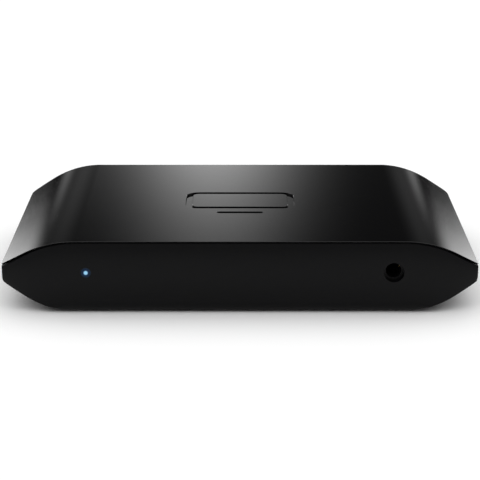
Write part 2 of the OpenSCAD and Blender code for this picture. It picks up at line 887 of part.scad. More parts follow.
module floor_pad() {
    color(pad_grey)
        block(cpu_x, cpu_y, floor_z, floor_pad_w, floor_pad_w, standoff_h);
}

module memory_chips() {
    color(chip_black)
    for (sx = [-1, 1])
        block(cpu_x + sx * memory_run, cpu_y, deck, memory_w, memory_d, chip_t);
}

module video_receiver_chip() {
    color(chip_black)
        block(video_in_x, chip_back - receiver_w / 2, deck, receiver_w, receiver_w, chip_t);
}

module video_driver_chip() {
    color(chip_black)
        block(video_out_x, chip_back - driver_w / 2, deck, driver_w, driver_w, chip_t);
}

module port_controller_chip() {
    color(chip_black)
        block(can_x, can_y + controller_w / 4, deck, controller_w, controller_w, chip_t);
}

module audio_codec_chip() {
    color(chip_black)
        block(codec_x, codec_y, deck, codec_w, codec_w, chip_t);
}

module flash_chip() {
    color(chip_black)
        block(flash_x, flash_y, deck, flash_w, flash_d, chip_t);
}

module clock_crystals() {
    color(steel_grey) {
        block(flash_x, crystal_y, deck, crystal_w, crystal_d, chip_t);
        translate([can_x, can_y - controller_w / 4 - 3 * part_gap - crystal_d / 2, deck])
            block(0, 0, 0, crystal_w, crystal_d, chip_t);
    }
}

module power_inductors() {
    color([0.25, 0.25, 0.27])
    for (i = [-1:1])
        block(inductor_x, i * (inductor_w + inductor_gap), deck, inductor_w, inductor_w, inductor_h);
}

module power_regulators() {
    color(chip_black)
    for (i = [-1:1])
        block(regulator_x, i * (inductor_w + inductor_gap), deck, regulator_w, regulator_w, chip_t);
}

module bulk_capacitors() {
    color(alu_grey)
    for (i = [0, 1], sy = [-1, 1])
        translate([bulk_x - i * (bulk_w + part_gap), sy * (post_y - 3 * post_r + part_gap), deck]) {
            block(0, 0, 0, bulk_w, bulk_w, part_gap);
            cylinder(r = bulk_r, h = bulk_h);
        }
}

module ceramic_capacitors() {
    color(cap_tan) {
        for (i = [-4:4])
            block(i * 2.5 * ceramic_l, board_front + 6, deck, ceramic_l, ceramic_w, ceramic_w);
        for (i = [-2:2])
            block(ceramic_x, i * 2.5 * ceramic_l, deck, ceramic_w, ceramic_l, ceramic_w);
        for (i = [-1.5:1.5])
            translate([flash_x + i * 2.2 * resistor_w, crystal_y + crystal_d / 2 + 2 * part_gap, deck])
                block(0, 0, 0, resistor_w, resistor_l, resistor_w);
    }
}

module chip_resistors() {
    color([0.1, 0.1, 0.12]) {
        for (i = [-2.5:2.5])
            translate([codec_x + i * 2.2 * resistor_w, codec_y + codec_w / 2 + 3 * part_gap, deck])
                block(0, 0, 0, resistor_w, resistor_l, resistor_w);
        for (i = [-2:2])
            block(flash_x + i * 2.2 * resistor_w, flash_row_y, deck, resistor_w, resistor_l, resistor_w);
    }
}

module surge_arrays() {
    color(chip_black)
    for (x = [video_in_x, video_out_x], i = [-1.5:1.5])
        block(x + i * 1.25 * surge_w, surge_y, deck, surge_w, filter_d, chip_t / 2);
}

module line_filters() {
    color([0.3, 0.22, 0.16])
    for (x = [video_in_x, video_out_x], i = [-1.5:1.5])
        block(x + i * 1.85 * filter_w, filter_y, deck, filter_w, filter_d, ceramic_w);
}

module shield_can() {
    pitch = 4 * vent_r;
    color(steel_grey)
    difference() {
        block(can_x, can_y, deck, can_w, can_d, can_h);
        block(can_x, can_y, deck - 1, can_w - 2 * can_t, can_d - 2 * can_t, can_h + 1 - can_t);
        for (i = [-2:2], j = [-3:3])
            translate([can_x + i * pitch, can_y + j * pitch, deck + can_h / 2])
                cylinder(r = vent_r, h = can_h);
    }
}

lower_case();
top_cover();
rubber_feet();
case_screws();
light_pipe();
main_board();
board_screws();
video_shell(video_in_x);  // video_in_shell
video_core(video_in_x);  // video_in_core
video_contacts(video_in_x);  // video_in_contacts
video_shell(video_out_x);  // video_out_shell
video_core(video_out_x);  // video_out_core
video_contacts(video_out_x);  // video_out_contacts
computer_port_shell();
computer_port_core();
computer_port_contacts();
audio_jack_housing();
jack_spring(tip_spring);  // audio_tip_spring
jack_spring(ring_spring);  // audio_ring_spring
jack_spring(sleeve_spring);  // audio_sleeve_spring
audio_jack_pins();
status_light();
capture_processor();
processor_pad();
heat_sink();
heat_sink_spacers();
heat_sink_screws();
heat_sink_nuts();
floor_pad();
memory_chips();
video_receiver_chip();
video_driver_chip();
port_controller_chip();
audio_codec_chip();
flash_chip();
clock_crystals();
power_inductors();
power_regulators();
bulk_capacitors();
ceramic_capacitors();
chip_resistors();
surge_arrays();
line_filters();
shield_can();
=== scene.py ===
import json
import math

import bmesh
import bpy
from mathutils import Matrix, Vector


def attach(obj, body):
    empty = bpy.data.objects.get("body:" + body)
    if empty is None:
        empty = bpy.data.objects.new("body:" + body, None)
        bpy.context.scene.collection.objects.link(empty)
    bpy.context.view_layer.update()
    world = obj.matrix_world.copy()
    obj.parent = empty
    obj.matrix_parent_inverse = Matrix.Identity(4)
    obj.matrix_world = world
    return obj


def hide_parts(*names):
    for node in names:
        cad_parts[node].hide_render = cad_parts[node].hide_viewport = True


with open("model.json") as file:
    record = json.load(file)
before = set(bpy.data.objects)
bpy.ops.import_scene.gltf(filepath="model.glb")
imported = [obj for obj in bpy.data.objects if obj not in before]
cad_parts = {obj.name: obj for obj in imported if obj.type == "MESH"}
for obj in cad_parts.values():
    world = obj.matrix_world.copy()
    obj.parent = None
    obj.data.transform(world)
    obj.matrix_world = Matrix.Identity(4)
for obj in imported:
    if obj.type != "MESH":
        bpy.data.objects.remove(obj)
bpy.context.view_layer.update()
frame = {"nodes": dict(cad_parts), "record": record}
nodes = frame["nodes"]
MM = 0.001
scene = bpy.context.scene

# Sizes in millimetres. They follow the solids, but the rim of the cover is thinner here (SKIN), its joint is
# finer (SEAM) and the plug hole is a little wider (PLUG_R).
HALF_W, HALF_D, HEIGHT = 56.0, 36.0, 18.0
ROOF_X, ROOF_R, ROOF_ANGLE = 38.0, 25.0, math.radians(30.5)
KEEL_X, KEEL_R, KEEL_ANGLE = 38.0, 25.5, math.radians(30.8)
SWEEP_X, SWEEP_BACK = 37.3, 3.9
SWEEP_R = ((HALF_W - SWEEP_X) ** 2 + SWEEP_BACK ** 2) / (2 * SWEEP_BACK)
CORNER_ROOM, ROLL_R, SIDE_R, WALL = 3.0, 3.0, 2.0, 2.0
SKIN, SEAM, PLATE = 0.4, 0.12, 1.8
FOOT_H, FOOT_R, FOOT_X, FOOT_Y = 0.4, 5.0, 28.0, 25.0
LIP_T, LIP_H, LIP_IN = 1.2, 2.0, 2.4
POST_R, POST_TOP, SCREW_R, SCREW_SEAT = 3.0, 8.8, 1.2, 3.2
STANDOFF_X, STANDOFF_Y, STANDOFF_R, STANDOFF_TOP, STANDOFF_HOLE = 43.0, 19.0, 2.4, 6.2, 0.82
DECK, FRONT_X, FRONT_Z = 7.8, 35.9, 10.4
LAMP_R, PLUG_R, SOCKET_ROOM = 0.6, 2.36, 0.25
MOUTH_Y, CONTACT_T = 35.2, 0.1
VIDEO_W, VIDEO_TOP, VIDEO_LIFT, VIDEO_CUT, VIDEO_SHEET = 15.0, 6.0, 0.4, 2.0, 0.35
COMPUTER_W, COMPUTER_T, COMPUTER_MID = 9.0, 3.3, 1.75
SIGN_W, SIGN_H, SIGN_STROKE, SIGN_CORNER, SIGN_SOFT, SIGN_DEPTH = 27.0, 15.12, 1.62, 3.24, 0.07, 0.5
PANEL_W, PANEL_D, PANEL_R, PANEL_DEPTH = 46.0, 24.0, 2.0, 0.18
DOUBLES = 0.0005  # points nearer than this are one
CUT_ANGLE = 20.0  # edges of a cut piece that are sharper than this, in degrees, stay sharp


# ---------------------------------------------------------------- node trees

class Wire:
    """One output of a node, for use in plain sums."""

    def __init__(self, net, socket):
        self.net, self.socket = net, socket

    def sum(self, operation, *others):
        return self.net.add("ShaderNodeMath", {"operation": operation}, dict(enumerate((self,) + others)))

    def __add__(self, other):
        return self.sum("ADD", other)

    __radd__ = __add__

    def __sub__(self, other):
        return self.sum("SUBTRACT", other)

    def __rsub__(self, other):
        return self.net.add("ShaderNodeMath", {"operation": "SUBTRACT"}, {0: other, 1: self})

    def __mul__(self, other):
        return self.sum("MULTIPLY", other)

    __rmul__ = __mul__

    def __truediv__(self, other):
        return self.sum("DIVIDE", other)

    def __rtruediv__(self, other):
        return self.net.add("ShaderNodeMath", {"operation": "DIVIDE"}, {0: other, 1: self})

    def __pow__(self, other):
        return self.sum("POWER", other)

    def __abs__(self):
        return self.sum("ABSOLUTE")

    def at_least(self, other):
        return self.sum("MAXIMUM", other)

    def at_most(self, other):
        return self.sum("MINIMUM", other)

    def root(self):
        return self.sum("SQRT")

    def part(self, low, high):
        """0 below low, 1 above high, straight between."""
        return ((self - low) / (high - low)).at_least(0.0).at_most(1.0)

    def output(self, name):
        """Another output of the same node."""
        return Wire(self.net, self.socket.node.outputs[name])


class Net:
    """One node tree that is being built."""

    def __init__(self, tree):
        self.tree = tree

    def add(self, kind, settings=None, sockets=None, out=0):
        """A node of this kind: first its settings, then values or links for its sockets."""
        node = self.tree.nodes.new(kind)
        for name, value in (settings or {}).items():
            setattr(node, name, value)
        for name, value in (sockets or {}).items():
            if isinstance(value, Wire):
                self.tree.links.new(value.socket, node.inputs[name])
            elif value is not None:
                node.inputs[name].default_value = value
        return Wire(self, node.outputs[out]) if len(node.outputs) else node

    def mix(self, factor, first, second):
        """One colour over another; 6, 7 and 2 are the Mix node's colour sockets."""
        return self.add("ShaderNodeMix", {"data_type": "RGBA"},
                        {"Factor": factor, 6: colour(first), 7: colour(second)}, out=2)


def colour(value):
    """A colour with its alpha, or the wire that brings it."""
    return value if isinstance(value, Wire) else tuple(value) + (1.0,) * (4 - len(value))


# ---------------------------------------------------------------- finishes

class Finish(Net):
    """A material with one principled shader, read in object coordinates."""

    def __init__(self, name):
        self.material = bpy.data.materials.new(name)
        self.material.use_nodes = True
        Net.__init__(self, self.material.node_tree)
        self.tree.nodes.clear()
        self.place = self.add("ShaderNodeTexCoord", out="Object")

    def stretch(self, x, y, z):
        return self.add("ShaderNodeMapping", None, {"Vector": self.place, "Scale": (x, y, z)})

    def noise(self, size_mm, detail=2.0, place=None):
        """Soft noise from 0 to 1, with patches of about this size."""
        return self.add("ShaderNodeTexNoise", None,
                        {"Vector": place or self.place, "Scale": 1.0 / (size_mm * MM), "Detail": detail,
                         "Roughness": 0.55})

    def cells(self, size_mm, settings=None, out=0):
        return self.add("ShaderNodeTexVoronoi", settings,
                        {"Vector": self.place, "Scale": 1.0 / (size_mm * MM)}, out)

    def bump(self, height, depth_mm, strength):
        return self.add("ShaderNodeBump", None,
                        {"Height": height, "Strength": strength, "Distance": depth_mm * MM})

    def split(self):
        """The place along X, with outputs for Y and Z."""
        return self.add("ShaderNodeSeparateXYZ", None, {"Vector": self.place})

    def done(self, **sockets):
        """Sets the shader: colours and links by socket name, with _ for a space."""
        named = {}
        for name, value in sockets.items():
            title = "Specular IOR Level" if name == "Specular" else name.replace("_", " ")
            named[title] = colour(value) if "Color" in title else value
        shader = self.add("ShaderNodeBsdfPrincipled", None, named)
        self.add("ShaderNodeOutputMaterial", None, {"Surface": shader})
        return self.material


def piano_black():
    f = Finish("piano_black_cover")
    smear = f.noise(14.0, 3.0)
    hairs = f.noise(0.5, 2.0, f.stretch(1.0, 0.06, 1.0)).part(0.62, 0.72)
    dust = 1 - f.cells(1.7).part(0.03, 0.05)
    ripple = f.noise(2.6, 1.0)
    return f.done(Base_Color=f.mix(dust * 0.5, (0.0016, 0.0016, 0.0018), (0.006, 0.006, 0.0064)),
                  Roughness=0.05 + smear * 0.04 + hairs * 0.02 + dust * 0.1, Specular=0.55, IOR=1.52,
                  Normal=f.bump(ripple, 0.0008, 0.25))


def satin_black():
    f = Finish("satin_black_case")
    grain = f.noise(0.34, 3.0)
    pits = f.cells(0.42)
    cloud = f.noise(9.0, 2.0)
    tone = f.mix(grain, (0.0020, 0.0020, 0.0022), (0.0046, 0.0046, 0.0050))
    return f.done(Base_Color=f.mix(cloud * 0.35, tone, (0.0038, 0.0038, 0.0042)),
                  Roughness=0.27 + grain * 0.06 + cloud * 0.04, Specular=0.10,
                  Normal=f.bump(grain * 0.7 + pits * 0.3, 0.008, 0.3))


def foot_rubber():
    f = Finish("foot_rubber")
    grain = f.noise(0.25, 4.0)
    chalk = f.noise(2.2, 3.0).part(0.45, 0.8)
    return f.done(Base_Color=f.mix(chalk * 0.6, (0.016, 0.016, 0.016), (0.042, 0.041, 0.040)),
                  Roughness=0.72 + grain * 0.2, Specular=0.3, Normal=f.bump(grain, 0.02, 0.6))


def plated_steel(name, first, second, rough):
    f = Finish(name)
    brush = f.noise(0.16, 2.0, f.stretch(1.0, 0.05, 1.0))
    cloud = f.noise(3.0, 2.0)
    stain = f.noise(1.1, 4.0).part(0.6, 0.85)
    tone = f.mix(stain * 0.5, f.mix(cloud, first, second), tuple(c * 0.62 for c in first))
    return f.done(Base_Color=tone, Metallic=1.0, Roughness=rough + brush * 0.14 + stain * 0.1,
                  Normal=f.bump(brush, 0.004, 0.4))


def contact_gold():
    f = Finish("contact_gold")
    wipe = f.noise(0.12, 2.0, f.stretch(1.0, 0.08, 1.0))
    rub = f.noise(0.8, 3.0).part(0.5, 0.8)
    return f.done(Base_Color=f.mix(rub * 0.5, (0.86, 0.62, 0.24), (0.70, 0.52, 0.26)), Metallic=1.0,
                  Roughness=0.20 + wipe * 0.16, Normal=f.bump(wipe, 0.003, 0.4))


def moulded(name, low, high, rough, grain_mm=0.3, depth_mm=0.01, specular=0.4):
    f = Finish(name)
    grain = f.noise(grain_mm, 3.0)
    flow = f.noise(grain_mm * 12, 2.0)
    return f.done(Base_Color=f.mix(flow * 0.6 + grain * 0.4, low, high),
                  Roughness=rough + grain * 0.12 + flow * 0.06, Specular=specular,
                  Normal=f.bump(grain, depth_mm, 0.5))


def lamp_blue():
    """A clear pipe that is lit in the middle of its tip and fades to a dark blue collar."""
    f = Finish("lamp_pipe_blue")
    swirl = f.noise(0.5, 2.0)
    x = f.split()
    off_x = (x + FRONT_X * MM) / MM
    off_z = (x.output("Z") - FRONT_Z * MM) / MM
    far = (off_x * off_x + off_z * off_z).root()
    core = f.mix(swirl * 0.5, (0.30, 0.62, 0.88), (0.36, 0.68, 0.92))
    collar = f.mix(far.part(0.55, 1.15), (0.0012, 0.010, 0.038), (0.0004, 0.001, 0.003))
    return f.done(Base_Color=f.mix(swirl, (0.006, 0.012, 0.022), (0.010, 0.018, 0.030)),
                  Roughness=0.22 + swirl * 0.1, Specular=0.08,
                  Emission_Color=f.mix(far.part(0.31, 0.58), core, collar), Emission_Strength=1.0,
                  Normal=f.bump(swirl, 0.004, 0.3))


def lamp_chip():
    f = Finish("lamp_chip_lit")
    swirl = f.noise(0.4, 2.0)
    return f.done(Base_Color=f.mix(swirl, (0.75, 0.82, 0.95), (0.9, 0.93, 1.0)), Roughness=0.25 + swirl * 0.1,
                  Emission_Color=f.mix(swirl, (0.10, 0.36, 0.95), (0.30, 0.62, 1.0)), Emission_Strength=0.8,
                  Normal=f.bump(swirl, 0.004, 0.3))


def board_green():
    """Solder mask over bundles of copper tracks that run across or along, with plated rings whose middles are
    painted near black as painted shade of an open hole.
    """
    f = Finish("board_laminate_green")
    weave = f.noise(0.35, 1.0)
    x = f.split()
    patch = f.cells(7.0, {"distance": "CHEBYCHEV"}, "Color")
    pick = f.add("ShaderNodeSeparateColor", None, {"Color": patch})
    track_pitch = 0.62 * MM

    def tracks(along):
        return 1 - abs((along / track_pitch).sum("FRACT") - 0.5).part(0.12, 0.18)

    turned_way = pick.sum("GREATER_THAN", 0.5)
    copper = (tracks(x) * turned_way + tracks(x.output("Y")) * (1 - turned_way)) \
        * pick.output("Green").sum("GREATER_THAN", 0.42)
    # These cells place the plated copper rings and, in their middles, a painted shade where a hole would be dark
    hole = f.cells(2.3)
    ring = 1 - hole.part(0.13, 0.16)
    mask = f.mix(weave, (0.010, 0.052, 0.028), (0.015, 0.072, 0.040))
    laid = f.mix(copper * 0.7, mask, (0.026, 0.125, 0.064))
    plated = f.mix(ring * 0.85, laid, (0.46, 0.38, 0.21))
    # The middle of each ring is painted near black: painted shade standing in for the inside of an open hole,
    # which is not cut
    return f.done(Base_Color=f.mix(1 - hole.part(0.05, 0.07), plated, (0.012, 0.012, 0.010)),
                  Roughness=0.24 + weave * 0.14,
                  Normal=f.bump(copper * 0.6 + ring * 0.6 + weave * 0.2, 0.02, 0.5))


def fired_ceramic():
    f = Finish("chip_ceramic")
    grain = f.noise(0.18, 4.0)
    blot = f.noise(1.4, 2.0)
    tone = f.mix(grain, (0.30, 0.21, 0.13), (0.46, 0.35, 0.23))
    return f.done(Base_Color=f.mix(blot, tone, (0.50, 0.42, 0.32)), Roughness=0.45 + grain * 0.2,
                  Normal=f.bump(grain, 0.01, 0.5))


finishes = {
    "case_matte": satin_black(),
    "cover_gloss": piano_black(),
    "foot_rubber": foot_rubber(),
    "screw_steel": plated_steel("screw_zinc", (0.60, 0.61, 0.63), (0.50, 0.52, 0.56), 0.26),
    "lamp_pipe": lamp_blue(),
    "lamp_chip": lamp_chip(),
    "board_laminate": board_green(),
    "socket_steel": plated_steel("socket_nickel", (0.66, 0.65, 0.63), (0.58, 0.58, 0.58), 0.20),
    "socket_plastic": moulded("socket_black", (0.0035, 0.0035, 0.0037), (0.0075, 0.0075, 0.0078), 0.42,
                              specular=0.16),
    "contact_gold": contact_gold(),
    "chip_plastic": moulded("chip_moulding", (0.028, 0.028, 0.031), (0.046, 0.046, 0.050), 0.50, 0.2),
    "pad_silicone": moulded("pad_silicone", (0.36, 0.43, 0.53), (0.46, 0.53, 0.62), 0.62, 0.5),
    "sink_aluminium": plated_steel("sink_aluminium", (0.70, 0.71, 0.72), (0.62, 0.63, 0.65), 0.30),
    "coil_ferrite": moulded("coil_ferrite", (0.06, 0.06, 0.064), (0.12, 0.12, 0.125), 0.55, 0.15, 0.02),
    "chip_ceramic": fired_ceramic(),
}


# ---------------------------------------------------------------- shapes by rule

def new_tree(name, inputs):
    """A geometry tree with named inputs, and its net, its inputs by name and its base geometry."""
    tree = bpy.data.node_groups.new(name, "GeometryNodeTree")
    face = tree.interface
    face.new_socket("Geometry", in_out="INPUT", socket_type="NodeSocketGeometry")
    for title, value in inputs.items():
        kind = "NodeSocketMaterial" if title == "Material" else \
            "NodeSocketInt" if isinstance(value, int) else "NodeSocketFloat"
        face.new_socket(title, in_out="INPUT", socket_type=kind)
    face.new_socket("Geometry", in_out="OUTPUT", socket_type="NodeSocketGeometry")
    net = Net(tree)
    base = net.add("NodeGroupInput")
    return net, {title: base.output(title) for title in inputs}, base


def close_tree(net, geometry, material):
    """Ends a tree: instances become real and the material is set."""
    real = net.add("GeometryNodeRealizeInstances", None, {"Geometry": geometry})
    painted = net.add("GeometryNodeSetMaterial", None, {"Geometry": real, "Material": material})
    net.add("NodeGroupOutput", None, {"Geometry": painted})
    return net.tree


def grown(name, base, tree, inputs):
    """Runs a tree on a base mesh and gives the plain mesh that it makes."""
    obj = bpy.data.objects.new(name + "_base", base)
    scene.collection.objects.link(obj)
    modifier = obj.modifiers.new("rule", "NODES")
    modifier.node_group = tree
    for item in tree.interface.items_tree:
        if item.item_type == "SOCKET" and item.in_out == "INPUT" and item.name in inputs:
            modifier[item.identifier] = inputs[item.name]
    deps = bpy.context.evaluated_depsgraph_get()
    mesh = bpy.data.meshes.new_from_object(obj.evaluated_get(deps), depsgraph=deps)
    obj.modifiers.remove(modifier)
    bpy.data.objects.remove(obj)
    mesh.name = name
    return mesh


def tidy(mesh, angle=32.0):
    """Merges doubles, turns the faces outwards and shades smooth up to this angle."""
    bm = bmesh.new()
    bm.from_mesh(mesh)
    bmesh.ops.remove_doubles(bm, verts=bm.verts, dist=DOUBLES * MM)
    bmesh.ops.dissolve_degenerate(bm, edges=bm.edges, dist=DOUBLES * MM)
    bmesh.ops.recalc_face_normals(bm, faces=bm.faces)
    bm.to_mesh(mesh)
    bm.free()
    mesh.shade_smooth()
    mesh.set_sharp_from_angle(angle=math.radians(angle))
    return mesh


def piece(name, mesh, slot, *stands_for):
    """A finished piece on the box, in place of the solids that it stands for."""
    obj = bpy.data.objects.new(name, mesh)
    scene.collection.objects.link(obj)
    if not mesh.materials:
        mesh.materials.append(finishes[slot])
    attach(obj, "box")
    if stands_for:
        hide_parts(*stands_for)


def double_sheet(name, across, along):
    """A closed pair of sheets over two lists of stations, joined round the edge.

    z is 0 on the outer sheet and 1 on the inner one.
    """
    points, faces, outer, inner = [], [], {}, {}
    last_i, last_j = len(across) - 1, len(along) - 1
    for i, u in enumerate(across):
        for j, v in enumerate(along):
            outer[i, j] = len(points)
            points.append((u, v, 0.0))
    for i, u in enumerate(across):
        for j, v in enumerate(along):
            if i in (0, last_i) or j in (0, last_j):
                inner[i, j] = outer[i, j]
            else:
                inner[i, j] = len(points)
                points.append((u, v, 1.0))
    for i in range(last_i):
        for j in range(last_j):
            ring = ((i, j), (i + 1, j), (i + 1, j + 1), (i, j + 1))
            faces.append([outer[c] for c in ring])
            faces.append([inner[c] for c in reversed(ring)])
    mesh = bpy.data.meshes.new(name)
    mesh.from_pydata(points, [], faces)
    mesh.update()
    return mesh


def mirrored(stations):
    """Stations from the middle outwards, and the same on the other side."""
    return [-s for s in reversed(stations) if s > 0] + list(stations)


def steps(start, end, count):
    """Even steps after the start, up to the end."""
    return [start + (end - start) * i / count for i in range(1, count + 1)]


# Stations of the two shells: across the flat, to the end of the roof's curve, and from front to back
FLAT, CURVE_END, CURVE_STEPS = [0.0, 8.0, 16.0, 24.0, 30.0, 34.0, 36.0, SWEEP_X], 51.0, 36
ALONG = [0.0, 0.25, 0.5, 0.75, 0.9, 1.0]
# Shares of a sheet's rim where its parts end: the run out, the turn or wall, and the top edge
RUN, TURN, EDGE = 0.4, 0.8, 0.9


def shell_sheet(name, bevel_steps, rim):
    """The sheet that a shell is made from; past 1 its stations lie in the rim."""
    span = HALF_W - CORNER_ROOM
    across = FLAT + steps(SWEEP_X, CURVE_END, CURVE_STEPS) + steps(CURVE_END, span, bevel_steps)
    rims = [1 + t for t in rim]
    return double_sheet(name, mirrored([x / span for x in across] + rims), mirrored(ALONG + rims))


PLAN = {"Half width": HALF_W, "Half depth": HALF_D, "Sweep start": SWEEP_X, "Sweep radius": SWEEP_R,
        "Front corner radius": 0.4, "Rear corner radius": 2.6, "Corner room": CORNER_ROOM}
ROOF = {"Height": HEIGHT, "Roof start": ROOF_X, "Roof radius": ROOF_R, "Roof angle": ROOF_ANGLE}


def fall(x, start, radius, angle, off):
    """How far a line has fallen at x: flat, then a curve, then a straight slope, for an offset inwards."""
    run = (x - start).at_least(0.0)
    inner = radius - off
    end = inner * angle.sum("SINE")
    turn = run.at_most(end)
    past = (run - end).at_least(0.0)
    return radius - (inner * inner - turn * turn).at_least(0.0).root() + past * angle.sum("TANGENT")


def plan_place(net, size, reach):
    """Where a station of the sheet stands in plan, this far out from the inset outline."""
    inset = size["Corner room"]
    spot = net.add("GeometryNodeInputPosition")
    u = net.add("ShaderNodeSeparateXYZ", None, {"Vector": spot})
    v = u.output("Y")
    over_u, over_v = (abs(u) - 1.0).at_least(0.0), (abs(v) - 1.0).at_least(0.0)
    back = v.sum("GREATER_THAN", 0.0)
    corner = size["Front corner radius"] + (size["Rear corner radius"] - size["Front corner radius"]) * back
    left = (inset - reach).at_least(corner)
    x = abs(u).at_most(1.0) * (size["Half width"] - left)
    bow = size["Sweep radius"] - left
    run = (x - size["Sweep start"]).at_least(0.0)
    deep = (bow * bow - run * run).root()
    y = abs(v).at_most(1.0) * (size["Half depth"] - size["Sweep radius"] + deep)
    to_x, to_y = over_u + over_v * run / bow, over_v * deep / bow
    tiny = 0.000001
    length = (to_x * to_x + to_y * to_y).root().at_least(tiny)
    more = (reach - (inset - corner)).at_least(0.0)
    to_x, to_y = to_x / length, to_y / length
    return {"u": u, "v": v, "x": x + to_x * more, "y": y + to_y * more, "to_x": to_x, "to_y": to_y}


def rim_of(net):
    """How far a station lies in the rim of the sheet, and whether it is on its inner side."""
    spot = net.add("ShaderNodeSeparateXYZ", None, {"Vector": net.add("GeometryNodeInputPosition")})
    over = (abs(spot) - 1.0).at_least((abs(spot.output("Y")) - 1.0).at_least(0.0))
    return over, spot.output("Z")


def set_place(net, geometry, spot, height):
    """Moves each station to its place, on its own side of the middle."""
    sign_u, sign_v = spot["u"].sum("SIGN"), spot["v"].sum("SIGN")
    where = net.add("ShaderNodeCombineXYZ", None,
                    {"X": spot["x"] * sign_u * MM, "Y": spot["y"] * sign_v * MM, "Z": height * MM})
    return net.add("GeometryNodeSetPosition", None, {"Geometry": geometry, "Position": where})


def cover_mesh():
    """The roof: a flat that curves over into a bevel at both sides, with a rolled rim and a lip inside."""
    sizes = dict(PLAN, **ROOF, **{"Edge radius": 0.05, "Undercut": 0.42, "Skin": SKIN, "Plate": PLATE,
                                  "Lip": LIP_T, "Lip height": LIP_H, "Lip place": LIP_IN})
    net, size, base = new_tree("roof_cover", dict(sizes, Material=None))
    rim, under = rim_of(net)
    inset, edge = size["Corner room"], size["Edge radius"]
    curl = rim.part(RUN, TURN) * (math.pi / 2)
    run = (rim.part(0.0, RUN) * (math.pi / 2)).sum("SINE")
    outside = (inset - edge) * run + edge * curl.sum("SINE") - size["Undercut"] * rim.part(TURN, 1.0)
    drop = edge * (1 - curl.sum("COSINE")) + (size["Skin"] - edge) * rim.part(TURN, 1.0)
    # The inner side steps from the rim inwards: under the skin, up the plate, and down and up round the lip
    step = [0.2 + i / 15 for i in range(6)]
    way = 1 - rim
    at_lip, fit = size["Lip place"], 0.15
    inside = inset - size["Undercut"] - (at_lip - fit - size["Undercut"]) * way.part(0.0, step[0]) \
        - fit * way.part(step[1], step[2]) - size["Lip"] * way.part(step[3], step[4]) \
        - fit * way.part(step[4], 1.0)
    drop_in = size["Skin"] + (size["Plate"] - size["Skin"]) * way.part(step[0], step[1]) \
        + size["Lip height"] * (way.part(step[2], step[3]) - way.part(step[4], step[5]))
    reach = outside + (inside - outside) * under
    off = drop + (drop_in - drop) * under
    spot = plan_place(net, size, reach)
    height = size["Height"] - fall(spot["x"], size["Roof start"], size["Roof radius"], size["Roof angle"], off)
    tree = close_tree(net, set_place(net, base, spot, height), size["Material"])
    sheet = shell_sheet("roof_cover_sheet", 8, steps(0.0, RUN, 9) + steps(RUN, TURN, 6) + [EDGE, 1.0])
    return grown("roof_cover", sheet, tree, dict(sizes, Material=finishes["cover_gloss"]))


